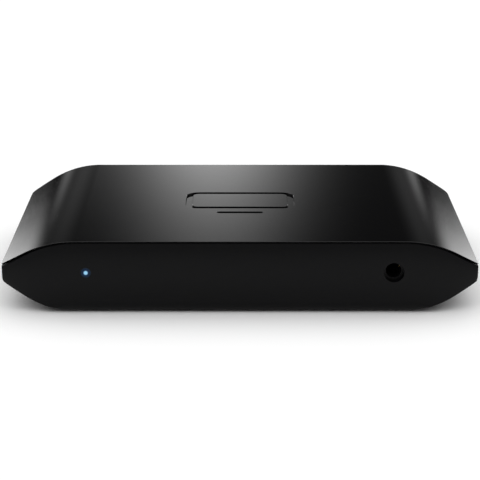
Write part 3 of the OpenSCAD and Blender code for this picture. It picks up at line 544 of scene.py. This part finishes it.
def case_mesh():
    """The tub: an underside that rises to both sides, a rolled lower edge and an upright wall all round."""
    sizes = dict(PLAN, **ROOF, **{
        "Underside": FOOT_H, "Keel start": KEEL_X, "Keel radius": KEEL_R, "Keel angle": KEEL_ANGLE,
        "Side radius": SIDE_R, "Roll radius": ROLL_R, "Edge radius": 0.3, "Top edge at the ends": 0.08,
        "Top edge in front": 0.36, "Wall": WALL, "Ledge": 1.0, "Lean out": 0.27, "Lean in": 0.19,
        "Joint": SKIN + SEAM})
    net, size, base = new_tree("lower_case", dict(sizes, Material=None))
    rim, under = rim_of(net)
    inset = size["Corner room"]
    arc = rim.part(0.0, RUN) * (math.pi / 2)
    rise = rim.part(RUN, TURN)
    lip = rim.part(TURN, EDGE) * (math.pi / 2)
    outside = inset * arc.sum("SINE")
    # The inner side goes along the ledge, down the wall and then over the floor
    back, ledge_end, wall_end = 1 - rim, 0.15, 0.45
    inside = (inset - size["Wall"]) * (1 - back.part(wall_end, 1.0))
    reach = outside + (inside - outside) * under
    spot = plan_place(net, size, reach)
    x, y = spot["x"], spot["y"]
    ends, front = size["Top edge at the ends"], size["Top edge in front"]
    top_r = ends + (front - ends) * spot["to_y"]
    tuck = top_r * (1 - lip.sum("COSINE")) + (size["Ledge"] - top_r) * rim.part(EDGE, 1.0)
    keel = size["Underside"] + fall(x, size["Keel start"], size["Keel radius"], size["Keel angle"], 0.0)
    slope = size["Keel angle"].sum("TANGENT")
    side = size["Side radius"]
    bend = size["Half width"] - side
    edge_x = size["Keel start"] + size["Keel radius"] * size["Keel angle"].sum("SINE")
    end_z = size["Underside"] + size["Keel radius"] * (1 - size["Keel angle"].sum("COSINE")) \
        + (size["Half width"] - edge_x) * slope
    middle = end_z + side * ((math.pi / 2 - size["Keel angle"]) / 2).sum("TANGENT")
    out = (x - bend).at_least(0.0).at_most(side)
    round_z = middle - (side * side - out * out).root()
    keel = keel + (round_z - keel) * x.sum("GREATER_THAN", bend + side * size["Keel angle"].sum("SINE"))
    roll = size["Roll radius"]
    past = (y - (size["Half depth"] - roll)).at_least(0.0).at_most(roll)
    bottom = keel.at_least(size["Underside"] + roll - (roll * roll - past * past).root())
    edge = size["Edge radius"]
    near = (edge - inset * (1 - arc.sum("SINE"))).at_least(0.0)
    bottom = bottom + edge - (edge * edge - near * near).root()
    top = size["Height"] - fall(x, size["Roof start"], size["Roof radius"], size["Roof angle"], size["Joint"])
    wall_z = bottom + (top - top_r - bottom) * rise + top_r * lip.sum("SINE")
    floor = size["Underside"] + fall(x, size["Keel start"], size["Keel radius"], size["Keel angle"], size["Wall"])
    well = top + (floor - top) * back.part(ledge_end, wall_end)
    height = wall_z + (well - wall_z) * under
    low, high = (0.5 - rise).at_least(0.0), (rise - 0.5).at_least(0.0)
    bulge = (top - bottom) * arc.sum("SINE") * spot["to_y"]
    belly = bulge * (size["Lean out"] * low * low + size["Lean in"] * high * high)
    ledge = size["Wall"] - size["Ledge"] - bulge * size["Lean in"] * 0.5 ** 2
    pull = (belly + tuck) * (1 - under) - ledge * (1 - back.part(0.0, ledge_end)) * under
    spot = dict(spot, x=x - spot["to_x"] * pull, y=y - spot["to_y"] * pull)
    tree = close_tree(net, set_place(net, base, spot, height), size["Material"])
    rims = steps(0.0, RUN, 14) + steps(RUN, TURN, 14) + steps(TURN, EDGE, 6) + [1.0]
    sheet = shell_sheet("lower_case_sheet", 6, rims)
    return grown("lower_case", sheet, tree, dict(sizes, Material=finishes["case_matte"]))


# ---------------------------------------------------------------- cutters

def loft(name, rings, closed_ring=False):
    """A closed solid through rings of points; with closed_ring the last ring meets the first."""
    bm = bmesh.new()
    rows = [[bm.verts.new(Vector(p) * MM) for p in ring] for ring in rings]
    count = len(rows[0])
    pairs = list(zip(rows, rows[1:])) + ([(rows[-1], rows[0])] if closed_ring else [])
    for low, high in pairs:
        for i in range(count):
            j = (i + 1) % count
            bm.faces.new((low[i], low[j], high[j], high[i]))
    if not closed_ring:
        bm.faces.new(list(reversed(rows[0])))
        bm.faces.new(rows[-1])
    bmesh.ops.recalc_face_normals(bm, faces=bm.faces)
    mesh = bpy.data.meshes.new(name)
    bm.to_mesh(mesh)
    bm.free()
    return mesh


def rounded_rect(width, depth, radius, count=8):
    """A rectangle about the middle with round corners, each of this many steps."""
    points = []
    for quarter, (sx, sy) in enumerate(((1, 1), (-1, 1), (-1, -1), (1, -1))):
        for i in range(count + 1):
            a = (quarter + i / count) * math.pi / 2
            points.append((sx * (width / 2 - radius) + radius * math.cos(a),
                           sy * (depth / 2 - radius) + radius * math.sin(a)))
    return points


def circle(radius, count=48):
    return [(radius * math.cos(2 * math.pi * i / count), radius * math.sin(2 * math.pi * i / count))
            for i in range(count)]


def upright(outline, z, x=0.0, y=0.0):
    """An outline laid flat at this height."""
    return [(px + x, py + y, z) for px, py in outline]


def facing(outline, y, x, z):
    """An outline stood up, as seen from the front."""
    return [(px + x, y, pz + z) for px, pz in outline]


def cut(mesh, cutters, added=()):
    """Joins solids to a closed mesh, then takes the cutters out of it."""
    obj = bpy.data.objects.new(mesh.name + "_blank", mesh)
    scene.collection.objects.link(obj)
    tools = []
    for operation, solid in [("UNION", m) for m in added] + [("DIFFERENCE", m) for m in cutters]:
        tool = bpy.data.objects.new("cutter", solid)
        scene.collection.objects.link(tool)
        tools.append(tool)
        modifier = obj.modifiers.new("cut", "BOOLEAN")
        modifier.operation, modifier.solver, modifier.object = operation, "EXACT", tool
    deps = bpy.context.evaluated_depsgraph_get()
    made = bpy.data.meshes.new_from_object(obj.evaluated_get(deps), depsgraph=deps)
    for gone in [obj] + tools:
        bpy.data.objects.remove(gone)
    made.name = mesh.name + "_cut"
    for slot in reversed(range(1, len(made.materials))):
        made.materials.pop(index=slot)
    made.polygons.foreach_set("material_index", [0] * len(made.polygons))
    return tidy(made, CUT_ANGLE)


def softened(points, radius, count=5, closed=True):
    """A line of points with its corners rounded."""
    made = []
    for i, point in enumerate(points):
        if not closed and i in (0, len(points) - 1):
            made.append(point)
            continue
        here = Vector(point)
        one = (Vector(points[i - 1]) - here).normalized()
        two = (Vector(points[(i + 1) % len(points)]) - here).normalized()
        half = one.angle(two) / 2
        middle = here + (one + two).normalized() * (radius / math.sin(half))
        start = here + one * (radius / math.tan(half)) - middle
        turn = math.copysign(math.pi - 2 * half, one.x * two.y - one.y * two.x) * -1
        for k in range(count + 1):
            made.append(tuple(middle + Matrix.Rotation(turn * k / count, 2) @ start))
    return made


def video_outline(grow):
    """The mouth of a video socket, with slanted lower corners, grown all round."""
    w, low, top = VIDEO_W / 2 + grow, VIDEO_LIFT - grow, VIDEO_TOP + grow
    step = VIDEO_LIFT + VIDEO_CUT - grow * 0.4
    corners = [(-w, top), (-w, step), (-w + VIDEO_CUT, low), (w - VIDEO_CUT, low), (w, step), (w, top)]
    return softened(corners, 0.6 + grow)


def computer_outline(grow, count=16):
    """The mouth of the computer port, with half-round ends, grown all round."""
    r, c, mid = COMPUTER_T / 2 + grow, (COMPUTER_W - COMPUTER_T) / 2, COMPUTER_MID
    right = [(c + r * math.cos(a), mid + r * math.sin(a))
             for a in (math.pi * (i / count - 0.5) for i in range(count + 1))]
    return right + [(-x, z) for x, z in reversed(right)]


# One kind of socket each: its outline and size, its legs (places along it, width, foot and head), and its
# contacts (how far behind the mouth, count and step back of the upper and the lower row, pitch and width)
VIDEO = {"outline": video_outline, "width": VIDEO_W, "length": 11.5, "sheet": VIDEO_SHEET, "middle": 3.5,
         "tongue": 1.0, "leg_places": (0.36, 0.8), "leg": (1.6, -2.2, 3.0), "nose": 1.6,
         "rows": ((10, 0.3), (9, 0.1)), "pitch": 1.0, "strip": 0.4, "springs": True}
COMPUTER = {"outline": computer_outline, "width": COMPUTER_W, "length": 8.0, "sheet": 0.3,
            "middle": COMPUTER_MID, "tongue": 0.7, "leg_places": (0.4, 0.8),
            "leg": (1.1, -2.1, COMPUTER_MID + 0.4), "nose": 1.2, "rows": ((12, 1.3), (12, 0.1)), "pitch": 0.5,
            "strip": 0.22, "springs": False}
SOCKETS = {"video_in": (3.0, VIDEO), "video_out": (-16.0, VIDEO), "computer_port": (19.0, COMPUTER)}


def sign_cutters():
    """A plain screen sign: a rounded frame over a short bar, sunk as a groove with soft edges."""
    levels = ((HEIGHT + 0.2, SIGN_SOFT), (HEIGHT + 0.001, SIGN_SOFT), (HEIGHT - SIGN_SOFT, 0.0),
              (HEIGHT - SIGN_DEPTH, -0.02))
    outer, inner = [], []
    for rings, side, inwards in ((outer, 1, 0.0), (inner, -1, SIGN_STROKE)):
        for z, grow in levels:
            more = 2 * (side * grow - inwards)
            rings.append(upright(rounded_rect(SIGN_W + more, SIGN_H + more, SIGN_CORNER + more / 2), z))
    bar_w, bar_y = SIGN_W * 0.42, -SIGN_H / 2 - 2.2 * SIGN_STROKE
    bar = [upright(rounded_rect(bar_w + 2 * grow, SIGN_STROKE + 2 * grow, SIGN_STROKE * 0.45 + grow), z, y=bar_y)
           for z, grow in levels]
    return [loft("sign_frame", outer + inner[::-1], closed_ring=True), loft("sign_bar", bar)]


def opening_cutters():
    """The lamp hole, the plug hole, the rear openings, the foot pockets, the screw holes and a panel below."""
    made = []
    for x, r, flare in ((-FRONT_X, LAMP_R + 0.05, 0.75), (FRONT_X, PLUG_R, 0.06)):
        front = ((-HALF_D - 0.6, r + flare), (-HALF_D - 0.02, r + flare), (-HALF_D + flare * 0.5, r),
                 (-HALF_D + WALL + 1.0, r))
        made.append(loft("front_hole", [facing(circle(radius), y, x, FRONT_Z) for y, radius in front]))
    back = HALF_D - 0.04
    flares = ((HALF_D - WALL - 1.0, 0.0), (back - 0.2, 0.0), (back, 0.2), (HALF_D + 0.6, 0.2))
    for x, kind in SOCKETS.values():
        made.append(loft("rear_opening", [facing(kind["outline"](SOCKET_ROOM + grow), y, x, DECK)
                                          for y, grow in flares]))
    pocket = ((-0.6, FOOT_R + 0.25), (FOOT_H - 0.02, FOOT_R + 0.25), (FOOT_H + 0.15, FOOT_R + 0.1),
              (FOOT_H + 0.8, FOOT_R + 0.1), (FOOT_H + 0.8, SCREW_R * 2), (SCREW_SEAT, SCREW_R * 2),
              (SCREW_SEAT, SCREW_R + 0.2), (POST_TOP + 0.5, SCREW_R + 0.2))
    hole = ((STANDOFF_TOP - 2.6, STANDOFF_HOLE), (STANDOFF_TOP - 0.2, STANDOFF_HOLE),
            (STANDOFF_TOP + 0.02, STANDOFF_HOLE + 0.22), (STANDOFF_TOP + 0.5, STANDOFF_HOLE + 0.22))
    for line, x, y in ((pocket, FOOT_X, FOOT_Y), (hole, STANDOFF_X, STANDOFF_Y)):
        made += [loft("screw_hole", [upright(circle(r), z, sx * x, sy * y) for z, r in line])
                 for sx in (-1, 1) for sy in (-1, 1)]
    panel = ((-0.6, 0.2), (FOOT_H - 0.02, 0.2), (FOOT_H + PANEL_DEPTH, 0.0))
    rings = [upright(rounded_rect(PANEL_W + 2 * grow, PANEL_D + 2 * grow, PANEL_R + grow), z) for z, grow in panel]
    made.append(loft("bare_panel", rings))
    return made


def turned(name, line, turns=48):
    """A closed solid turned about Z from (radius, height) points that start and end on the axis."""
    bm = bmesh.new()
    rows = [[bm.verts.new(Vector(p) * MM) for p in upright(circle(r, turns), z)] for r, z in line[1:-1]]
    for low, high in zip(rows, rows[1:]):
        for i in range(turns):
            bm.faces.new((low[i], low[(i + 1) % turns], high[(i + 1) % turns], high[i]))
    for row, (_, z) in ((rows[0], line[0]), (rows[-1], line[-1])):
        middle = bm.verts.new((0.0, 0.0, z * MM))
        for i in range(turns):
            bm.faces.new((row[i], row[(i + 1) % turns], middle))
    bmesh.ops.recalc_face_normals(bm, faces=bm.faces)
    mesh = bpy.data.meshes.new(name)
    bm.to_mesh(mesh)
    bm.free()
    return mesh


def on_corners(name, blank, half_x, half_y, slot):
    """Four of one shape, at the corners of an upright rectangle seen from above."""
    sizes = {"Spread across": 2 * half_x * MM, "Spread back": 2 * half_y * MM, "Each way": 2}
    net, size, base = new_tree(name + "_on_corners", dict(sizes, Material=None))
    spots = net.add("GeometryNodeMeshGrid", None,
                    {"Size X": size["Spread across"], "Size Y": size["Spread back"],
                     "Vertices X": size["Each way"], "Vertices Y": size["Each way"]})
    stood = net.add("GeometryNodeInstanceOnPoints", None, {"Points": spots, "Instance": base})
    tree = close_tree(net, stood, size["Material"])
    return grown(name, blank, tree, dict(sizes, Material=finishes[slot]))


def in_row(name, blank, count, pitch, slot):
    """One shape repeated along X, about its own place."""
    sizes = {"Count": count, "Pitch": pitch * MM}
    net, size, base = new_tree(name + "_in_row", dict(sizes, Material=None))
    start = net.add("ShaderNodeCombineXYZ", None, {"X": (size["Count"] - 1.0) * size["Pitch"] * -0.5})
    step = net.add("ShaderNodeCombineXYZ", None, {"X": size["Pitch"]})
    spots = net.add("GeometryNodeMeshLine", {"mode": "OFFSET"},
                    {"Count": size["Count"], "Start Location": start, "Offset": step})
    placed = net.add("GeometryNodeInstanceOnPoints", None, {"Points": spots, "Instance": base})
    tree = close_tree(net, placed, size["Material"])
    return grown(name, blank, tree, dict(sizes, Material=finishes[slot]))


def joined(name, meshes):
    """Several meshes as one."""
    bm = bmesh.new()
    for mesh in meshes:
        bm.from_mesh(mesh)
    made = bpy.data.meshes.new(name)
    bm.to_mesh(made)
    bm.free()
    return made


def ribbon(name, path, wide, thick, x=0.0, soft=True):
    """A strip of sheet metal that follows a path of (y, z) points, with softened or plain edges."""
    plain = [(sx * wide / 2, sy * thick / 2) for sx, sy in ((1, 1), (-1, 1), (-1, -1), (1, -1))]
    section = rounded_rect(wide, thick, thick * 0.45, 2) if soft else plain
    rings = []
    for i, (y, z) in enumerate(path):
        before, after = path[max(i - 1, 0)], path[min(i + 1, len(path) - 1)]
        way = (Vector(after) - Vector(before)).normalized()
        rings.append([(x + px, y - way.y * off, z + way.x * off) for px, off in section])
    return loft(name, rings)


def pillars(name, radius, low, high, half_x, half_y):
    """Four round pillars of the case with a softened free end."""
    line = [(0.0, low), (radius, low), (radius, high - 0.3), (radius - 0.3, high), (0.0, high)]
    return tidy(on_corners(name, turned(name + "_blank", line), half_x, half_y, "case_matte"))


def boss_mesh():
    """Four bosses that hang from the cover, each with a blind hole for its screw."""
    root, hole = HEIGHT - PLATE + 0.4, SCREW_R + 0.02
    line = [(0.0, root), (POST_R, root), (POST_R, POST_TOP + 0.3), (POST_R - 0.3, POST_TOP),
            (SCREW_R + 0.25, POST_TOP), (hole, POST_TOP + 0.25), (hole, POST_TOP + 5.0), (0.0, POST_TOP + 5.6)]
    return tidy(on_corners("boss", turned("boss_blank", line), FOOT_X, FOOT_Y, "cover_gloss"))


piece("roof_cover", cut(tidy(cover_mesh()), sign_cutters(), [boss_mesh()]), "cover_gloss", "top_cover")
inner_floor = FOOT_H + WALL
posts = pillars("post", POST_R, inner_floor - 0.5, POST_TOP, FOOT_X, FOOT_Y)
standoffs = pillars("standoff", STANDOFF_R, inner_floor - 0.6, STANDOFF_TOP, STANDOFF_X, STANDOFF_Y)
piece("lower_tub", cut(tidy(case_mesh()), opening_cutters(), [posts, standoffs]), "case_matte", "lower_case")


# ---------------------------------------------------------------- lamp lens

def lens_mesh():
    """The domed tip of the light pipe, with a thin flange in the flare of its hole."""
    radius, rise = 0.64, 0.112
    dome = [(0.0, 0.0)] + [(radius * math.sin(a), rise * (1 - math.cos(a))) for a in steps(0.0, math.pi / 2, 8)]
    flange = [(0.72, 0.10), (1.30, 0.06), (1.32, 0.10), (0.7, 0.36), (0.0, 0.36)]
    mesh = turned("lamp_lens", dome + flange)
    place = Matrix.Translation(Vector((-FRONT_X, -HALF_D + 0.02, FRONT_Z)) * MM)
    mesh.transform(place @ Matrix.Rotation(-math.pi / 2, 4, "X"))
    return mesh


piece("lamp_lens", tidy(lens_mesh(), 50.0), "lamp_pipe")


# ---------------------------------------------------------------- feet

def foot_mesh():
    """One rubber foot: a disc with a rounded rim and three shallow grip rings."""
    top = FOOT_H + 0.8
    line = [(0.0, 0.10), (0.9, 0.10), (1.1, 0.0), (1.9, 0.0), (2.0, 0.14), (2.3, 0.14), (2.4, 0.0), (3.2, 0.0),
            (3.3, 0.14), (3.6, 0.14), (3.7, 0.0), (4.55, 0.0), (4.8, 0.06), (4.95, 0.2), (5.0, 0.42), (5.0, top)]
    return turned("foot_blank", line + [(0.0, top)], 64)


feet = on_corners("feet", foot_mesh(), FOOT_X, FOOT_Y, "foot_rubber")
piece("grip_feet", tidy(feet, 40.0), "foot_rubber", "rubber_feet")


# ---------------------------------------------------------------- sockets

def shell_mesh(name, x, kind):
    """A folded metal shell with a rolled mouth, on four legs, with grip springs in a video socket."""
    sheet, back = kind["sheet"], MOUTH_Y - kind["length"]
    half = sheet / 2
    rolls = [(MOUTH_Y - half + half * math.sin(a), half * (math.cos(a) - 1))
             for a in (math.pi * i / 6 for i in range(7))]
    rings = [facing(kind["outline"](grow), y, x, DECK) for y, grow in [(back, 0.0)] + rolls + [(back, -sheet)]]
    parts = [loft(name, rings, closed_ring=True)]
    wide, low, high = kind["leg"]
    stands = ((low, 0.6), (low + 0.4, 1.0), (high, 1.0))
    for side in (-1, 1):
        for share in kind["leg_places"]:
            leg_x, leg_y = x + side * (kind["width"] - sheet) / 2, MOUTH_Y - kind["length"] * share
            parts.append(loft(name + "_leg", [upright(rounded_rect(sheet, wide * narrow, sheet * 0.3, 2),
                                                      DECK + z, leg_x, leg_y) for z, narrow in stands]))
    return joined(name, parts + (grip_springs(x) if kind["springs"] else []))


def grip_springs(x):
    """The four bent springs inside a video shell, two above and two below."""
    wide, thick, made = 1.7, 0.18, []
    bends = ((6.4, 0.02), (5.8, 0.1), (3.6, 0.36), (2.7, 0.36), (2.0, 0.14), (1.7, 0.1))
    for side, spread, wall_z in ((-1.0, 3.4, VIDEO_TOP - VIDEO_SHEET), (1.0, 2.6, VIDEO_LIFT + VIDEO_SHEET)):
        path = [(MOUTH_Y - back, DECK + wall_z + side * drop) for back, drop in bends]
        made += [ribbon("grip_spring", softened(path, 0.3, 3, closed=False), wide, thick, x + sx * spread)
                 for sx in (-1, 1)]
    return made


def contact_mesh(name, x, kind):
    """Two rows of bent contact strips: along the tongue, down behind the socket and onto the board."""
    half, nose, parts = CONTACT_T / 2, kind["nose"], []
    for side, (count, back) in zip((1, -1), kind["rows"]):
        z = kind["middle"] + side * kind["tongue"] / 2
        end, lie = kind["length"] + back, z + side * half
        path = [(-nose, z - side * 0.02), (-nose - 0.3, lie), (-end - half, lie), (-end - half, half),
                (-end - 0.8, half)]
        path = [(MOUTH_Y + y, DECK + h) for y, h in softened(path, 0.14, 4, closed=False)]
        strip = ribbon(name, path, kind["strip"], CONTACT_T, x)
        parts.append(in_row(name + "_row", strip, count, kind["pitch"], "contact_gold"))
    return joined(name, parts)


for socket, (socket_x, kind) in SOCKETS.items():
    mouth, rows = socket + "_mouth", socket + "_rows"
    piece(mouth, tidy(shell_mesh(mouth, socket_x, kind), 30.0), "socket_steel", socket + "_shell")
    piece(rows, tidy(contact_mesh(rows, socket_x, kind), 40.0), "contact_gold", socket + "_contacts")


# ---------------------------------------------------------------- parts on the board

def solids_of(node):
    """The lowest and highest corner of each separate solid of a node, in millimetres."""
    bm = bmesh.new()
    bm.from_mesh(nodes[node].data)
    bmesh.ops.remove_doubles(bm, verts=bm.verts, dist=DOUBLES * MM)
    left, boxes = set(bm.verts), []
    while left:
        group, open_ends = [], [left.pop()]
        while open_ends:
            vert = open_ends.pop()
            group.append(vert.co / MM)
            near = {edge.other_vert(vert) for edge in vert.link_edges} & left
            left -= near
            open_ends += near
        boxes.append([Vector(pick(p[i] for p in group) for i in range(3)) for pick in (min, max)])
    bm.free()
    return sorted(boxes, key=lambda box: tuple(box[0]))


def body_mesh(name, low, high, corner, levels):
    """A moulded or drawn body in this box, through levels of (share of the height, step in)."""
    middle, size = (low + high) / 2, high - low
    return loft(name, [upright(rounded_rect(size.x - 2 * step, size.y - 2 * step, corner, 4),
                               low.z + size.z * share, middle.x, middle.y) for share, step in levels])


def dimple(low, high):
    """The round mark in the first corner of a chip."""
    inwards, rings = 0.85, ((0.05, 0.34), (0.0, 0.30), (-0.05, 0.24))
    return loft("dimple", [upright(circle(r, 20), high.z + z, low.x + inwards, high.y - inwards)
                           for z, r in rings])


def lead_rows(name, low, high, leads, pitch, sides):
    """Rows of bent leads along two or four sides of the chip body in this box."""
    middle, size = (low + high) / 2, high - low
    wide, thick, foot_z, end_room, rows = pitch * 0.42, 0.12, 0.07, 0.4, []
    place = Matrix.Translation(Vector((middle.x, middle.y, low.z)) * MM)
    for quarter in range(0, 4, 4 // sides):
        along, out = (size.x, size.y) if quarter % 2 == 0 else (size.y, size.x)
        line = [(0.15, size.z / 2), (-leads * 0.4, size.z / 2), (-leads * 0.55, foot_z), (-leads, foot_z)]
        line = [(y - out / 2, z) for y, z in softened(line, 0.06, 1, closed=False)]
        count = int((along - end_room - wide) / pitch) + 1
        lead = ribbon(name, line, wide, thick, soft=False)
        row = in_row(name + "_row", lead, count, pitch, "socket_steel")
        row.transform(place @ Matrix.Rotation(quarter * math.pi / 2, 4, "Z"))
        rows.append(row)
    return rows


# Levels of a body: a moulded chip, a pressed inductor and a drawn crystal can
MOULDED = ((0.08, 0.09), (0.5, 0.0), (0.94, 0.07), (1.0, 0.13))
PRESSED = ((0.0, 0.1), (0.06, 0.0), (0.86, 0.0), (0.97, 0.08), (1.0, 0.25))
DRAWN = ((0.0, 0.0), (0.3, 0.0), (0.34, 0.14), (0.9, 0.14), (1.0, 0.24))
ON_BOARD = {  # node: lead length, lead pitch, sides with leads, corner radius, levels
    "audio_codec_chip": (0.5, 0.65, 4, 0.12, MOULDED),
    "flash_chip": (0.6, 1.27, 2, 0.12, MOULDED),
    "port_controller_chip": (0.5, 0.5, 4, 0.12, MOULDED),
    "video_driver_chip": (0.5, 0.5, 4, 0.12, MOULDED),
    "video_receiver_chip": (0.5, 0.5, 4, 0.12, MOULDED),
    "memory_chips": (0.0, 0.0, 0, 0.15, MOULDED),
    "power_regulators": (0.45, 0.95, 2, 0.1, MOULDED),
    "power_inductors": (0.0, 0.0, 0, 0.8, PRESSED),
    "clock_crystals": (0.0, 0.0, 0, 0.3, DRAWN)}
node_slot = {row["node"]: row["material_slot"] for row in frame["record"]["subparts"]}
lead_parts = []
for node, (leads, pitch, sides, corner, levels) in ON_BOARD.items():
    bodies = []
    for low, high in solids_of(node):
        room = Vector((leads if sides == 4 else 0.0, leads, 0.0))
        low, high = low + room, high - room
        body = body_mesh(node, low, high, corner, levels)
        bodies.append(cut(body, [dimple(low, high)]) if levels is MOULDED else body)
        if sides:
            lead_parts += lead_rows(node, low, high, leads, pitch, sides)
    piece(node + "_body", tidy(joined(node + "_body", bodies)), node_slot[node], node)
piece("chip_leads", tidy(joined("chip_leads", lead_parts), 40.0), "socket_steel")


# ---------------------------------------------------------------- solids that stay

for node, slot in node_slot.items():
    solid = nodes[node]
    if not solid.hide_render:
        solid.data.materials.clear()
        solid.data.materials.append(finishes[slot])


# ---------------------------------------------------------------- floor, light and camera

FLOOR_REACH = 25.0  # metres
CAMERA_LENS, CAMERA_AWAY, CAMERA_LIFT, CAMERA_LOOK = 128.6, 0.4341, math.radians(16.82), (0.0, 0.0, 0.00752)
PANELS = (  # turn from straight behind, lift, reach sideways and upwards, all in degrees, and strength
    (-0.9, 10.0, 2.4, 5.0, 2.15),    # straight behind, for the glow on the roof
    (-8.0, 11.5, 5.0, 3.5, 0.13),    # a faint fill on either side of it
    (10.5, 11.5, 4.0, 3.5, 0.08),
    (13.1, 7.2, 1.6, 2.1, 0.42),     # narrow ones, for the streaks on the roof's curves
    (-13.3, 7.2, 1.7, 2.1, 0.30))
DARK, OVERHEAD, SIDES, ROOM = 0.012, 1.4, 2.45, 0.4  # strengths


def stage_floor():
    """A plain pale floor."""
    mesh = bpy.data.meshes.new("floor")
    far = FLOOR_REACH
    mesh.from_pydata([(-far, -far, 0), (far, -far, 0), (far, far, 0), (-far, far, 0)], [], [(0, 1, 2, 3)])
    obj = bpy.data.objects.new("floor", mesh)
    scene.collection.objects.link(obj)
    material = bpy.data.materials.new("pale_floor")
    material.use_nodes = True
    net = Net(material.node_tree)
    net.tree.nodes.clear()
    paper = net.add("ShaderNodeBsdfDiffuse", None, {"Color": colour((0.96, 0.96, 0.96))})
    net.add("ShaderNodeOutputMaterial", None, {"Surface": paper})
    mesh.materials.append(material)


def studio_world():
    """A large soft light overhead, wide panels low at both sides, panels behind, and a dim room in front."""
    world = bpy.data.worlds.new("studio")
    scene.world = world
    world.use_nodes = True
    net = Net(world.node_tree)
    net.tree.nodes.clear()
    way = net.add("ShaderNodeTexCoord", out="Generated")
    x = net.add("ShaderNodeSeparateXYZ", None, {"Vector": way})
    y, z = x.output("Y"), x.output("Z")
    degrees = 180 / math.pi
    turn = x.sum("ARCTAN2", y) * degrees
    lift = z.sum("ARCSINE") * degrees
    away = abs(turn)
    inner_edge = (away + lift * 0.17).part(16.4, 20.2) ** 2.1
    sides = inner_edge * (1 - away.part(27.0, 40.0)) * (1 - lift.part(7.0, 16.0))
    light = DARK + lift.part(22.0, 38.0) * OVERHEAD + sides * SIDES
    for at_turn, at_lift, wide, tall, strength in PANELS:
        a, b = (turn - at_turn) / wide, (lift - at_lift) / tall
        light = light + (-1.0 * (a * a + b * b)).sum("EXPONENT") * strength
    room = away.part(50.0, 85.0) * (-1.0 * ((lift - 14.0) / 8.0) ** 2).sum("EXPONENT")
    light = light + room * ROOM
    sky = net.add("ShaderNodeBackground", None, {"Color": colour((1.0, 1.0, 1.0)), "Strength": light})
    net.add("ShaderNodeOutputWorld", None, {"Surface": sky})


def camera():
    """The photo's own view: from straight in front and a little above."""
    data = bpy.data.cameras.new("camera")
    data.lens, data.sensor_width = CAMERA_LENS, 36.0
    obj = bpy.data.objects.new("camera", data)
    scene.collection.objects.link(obj)
    look = Vector(CAMERA_LOOK)
    obj.location = look + Vector((0.0, -math.cos(CAMERA_LIFT), math.sin(CAMERA_LIFT))) * CAMERA_AWAY
    obj.rotation_euler = (look - obj.location).to_track_quat("-Z", "Y").to_euler()
    scene.camera = obj


stage_floor()
studio_world()
camera()
scene.view_settings.view_transform = "Standard"
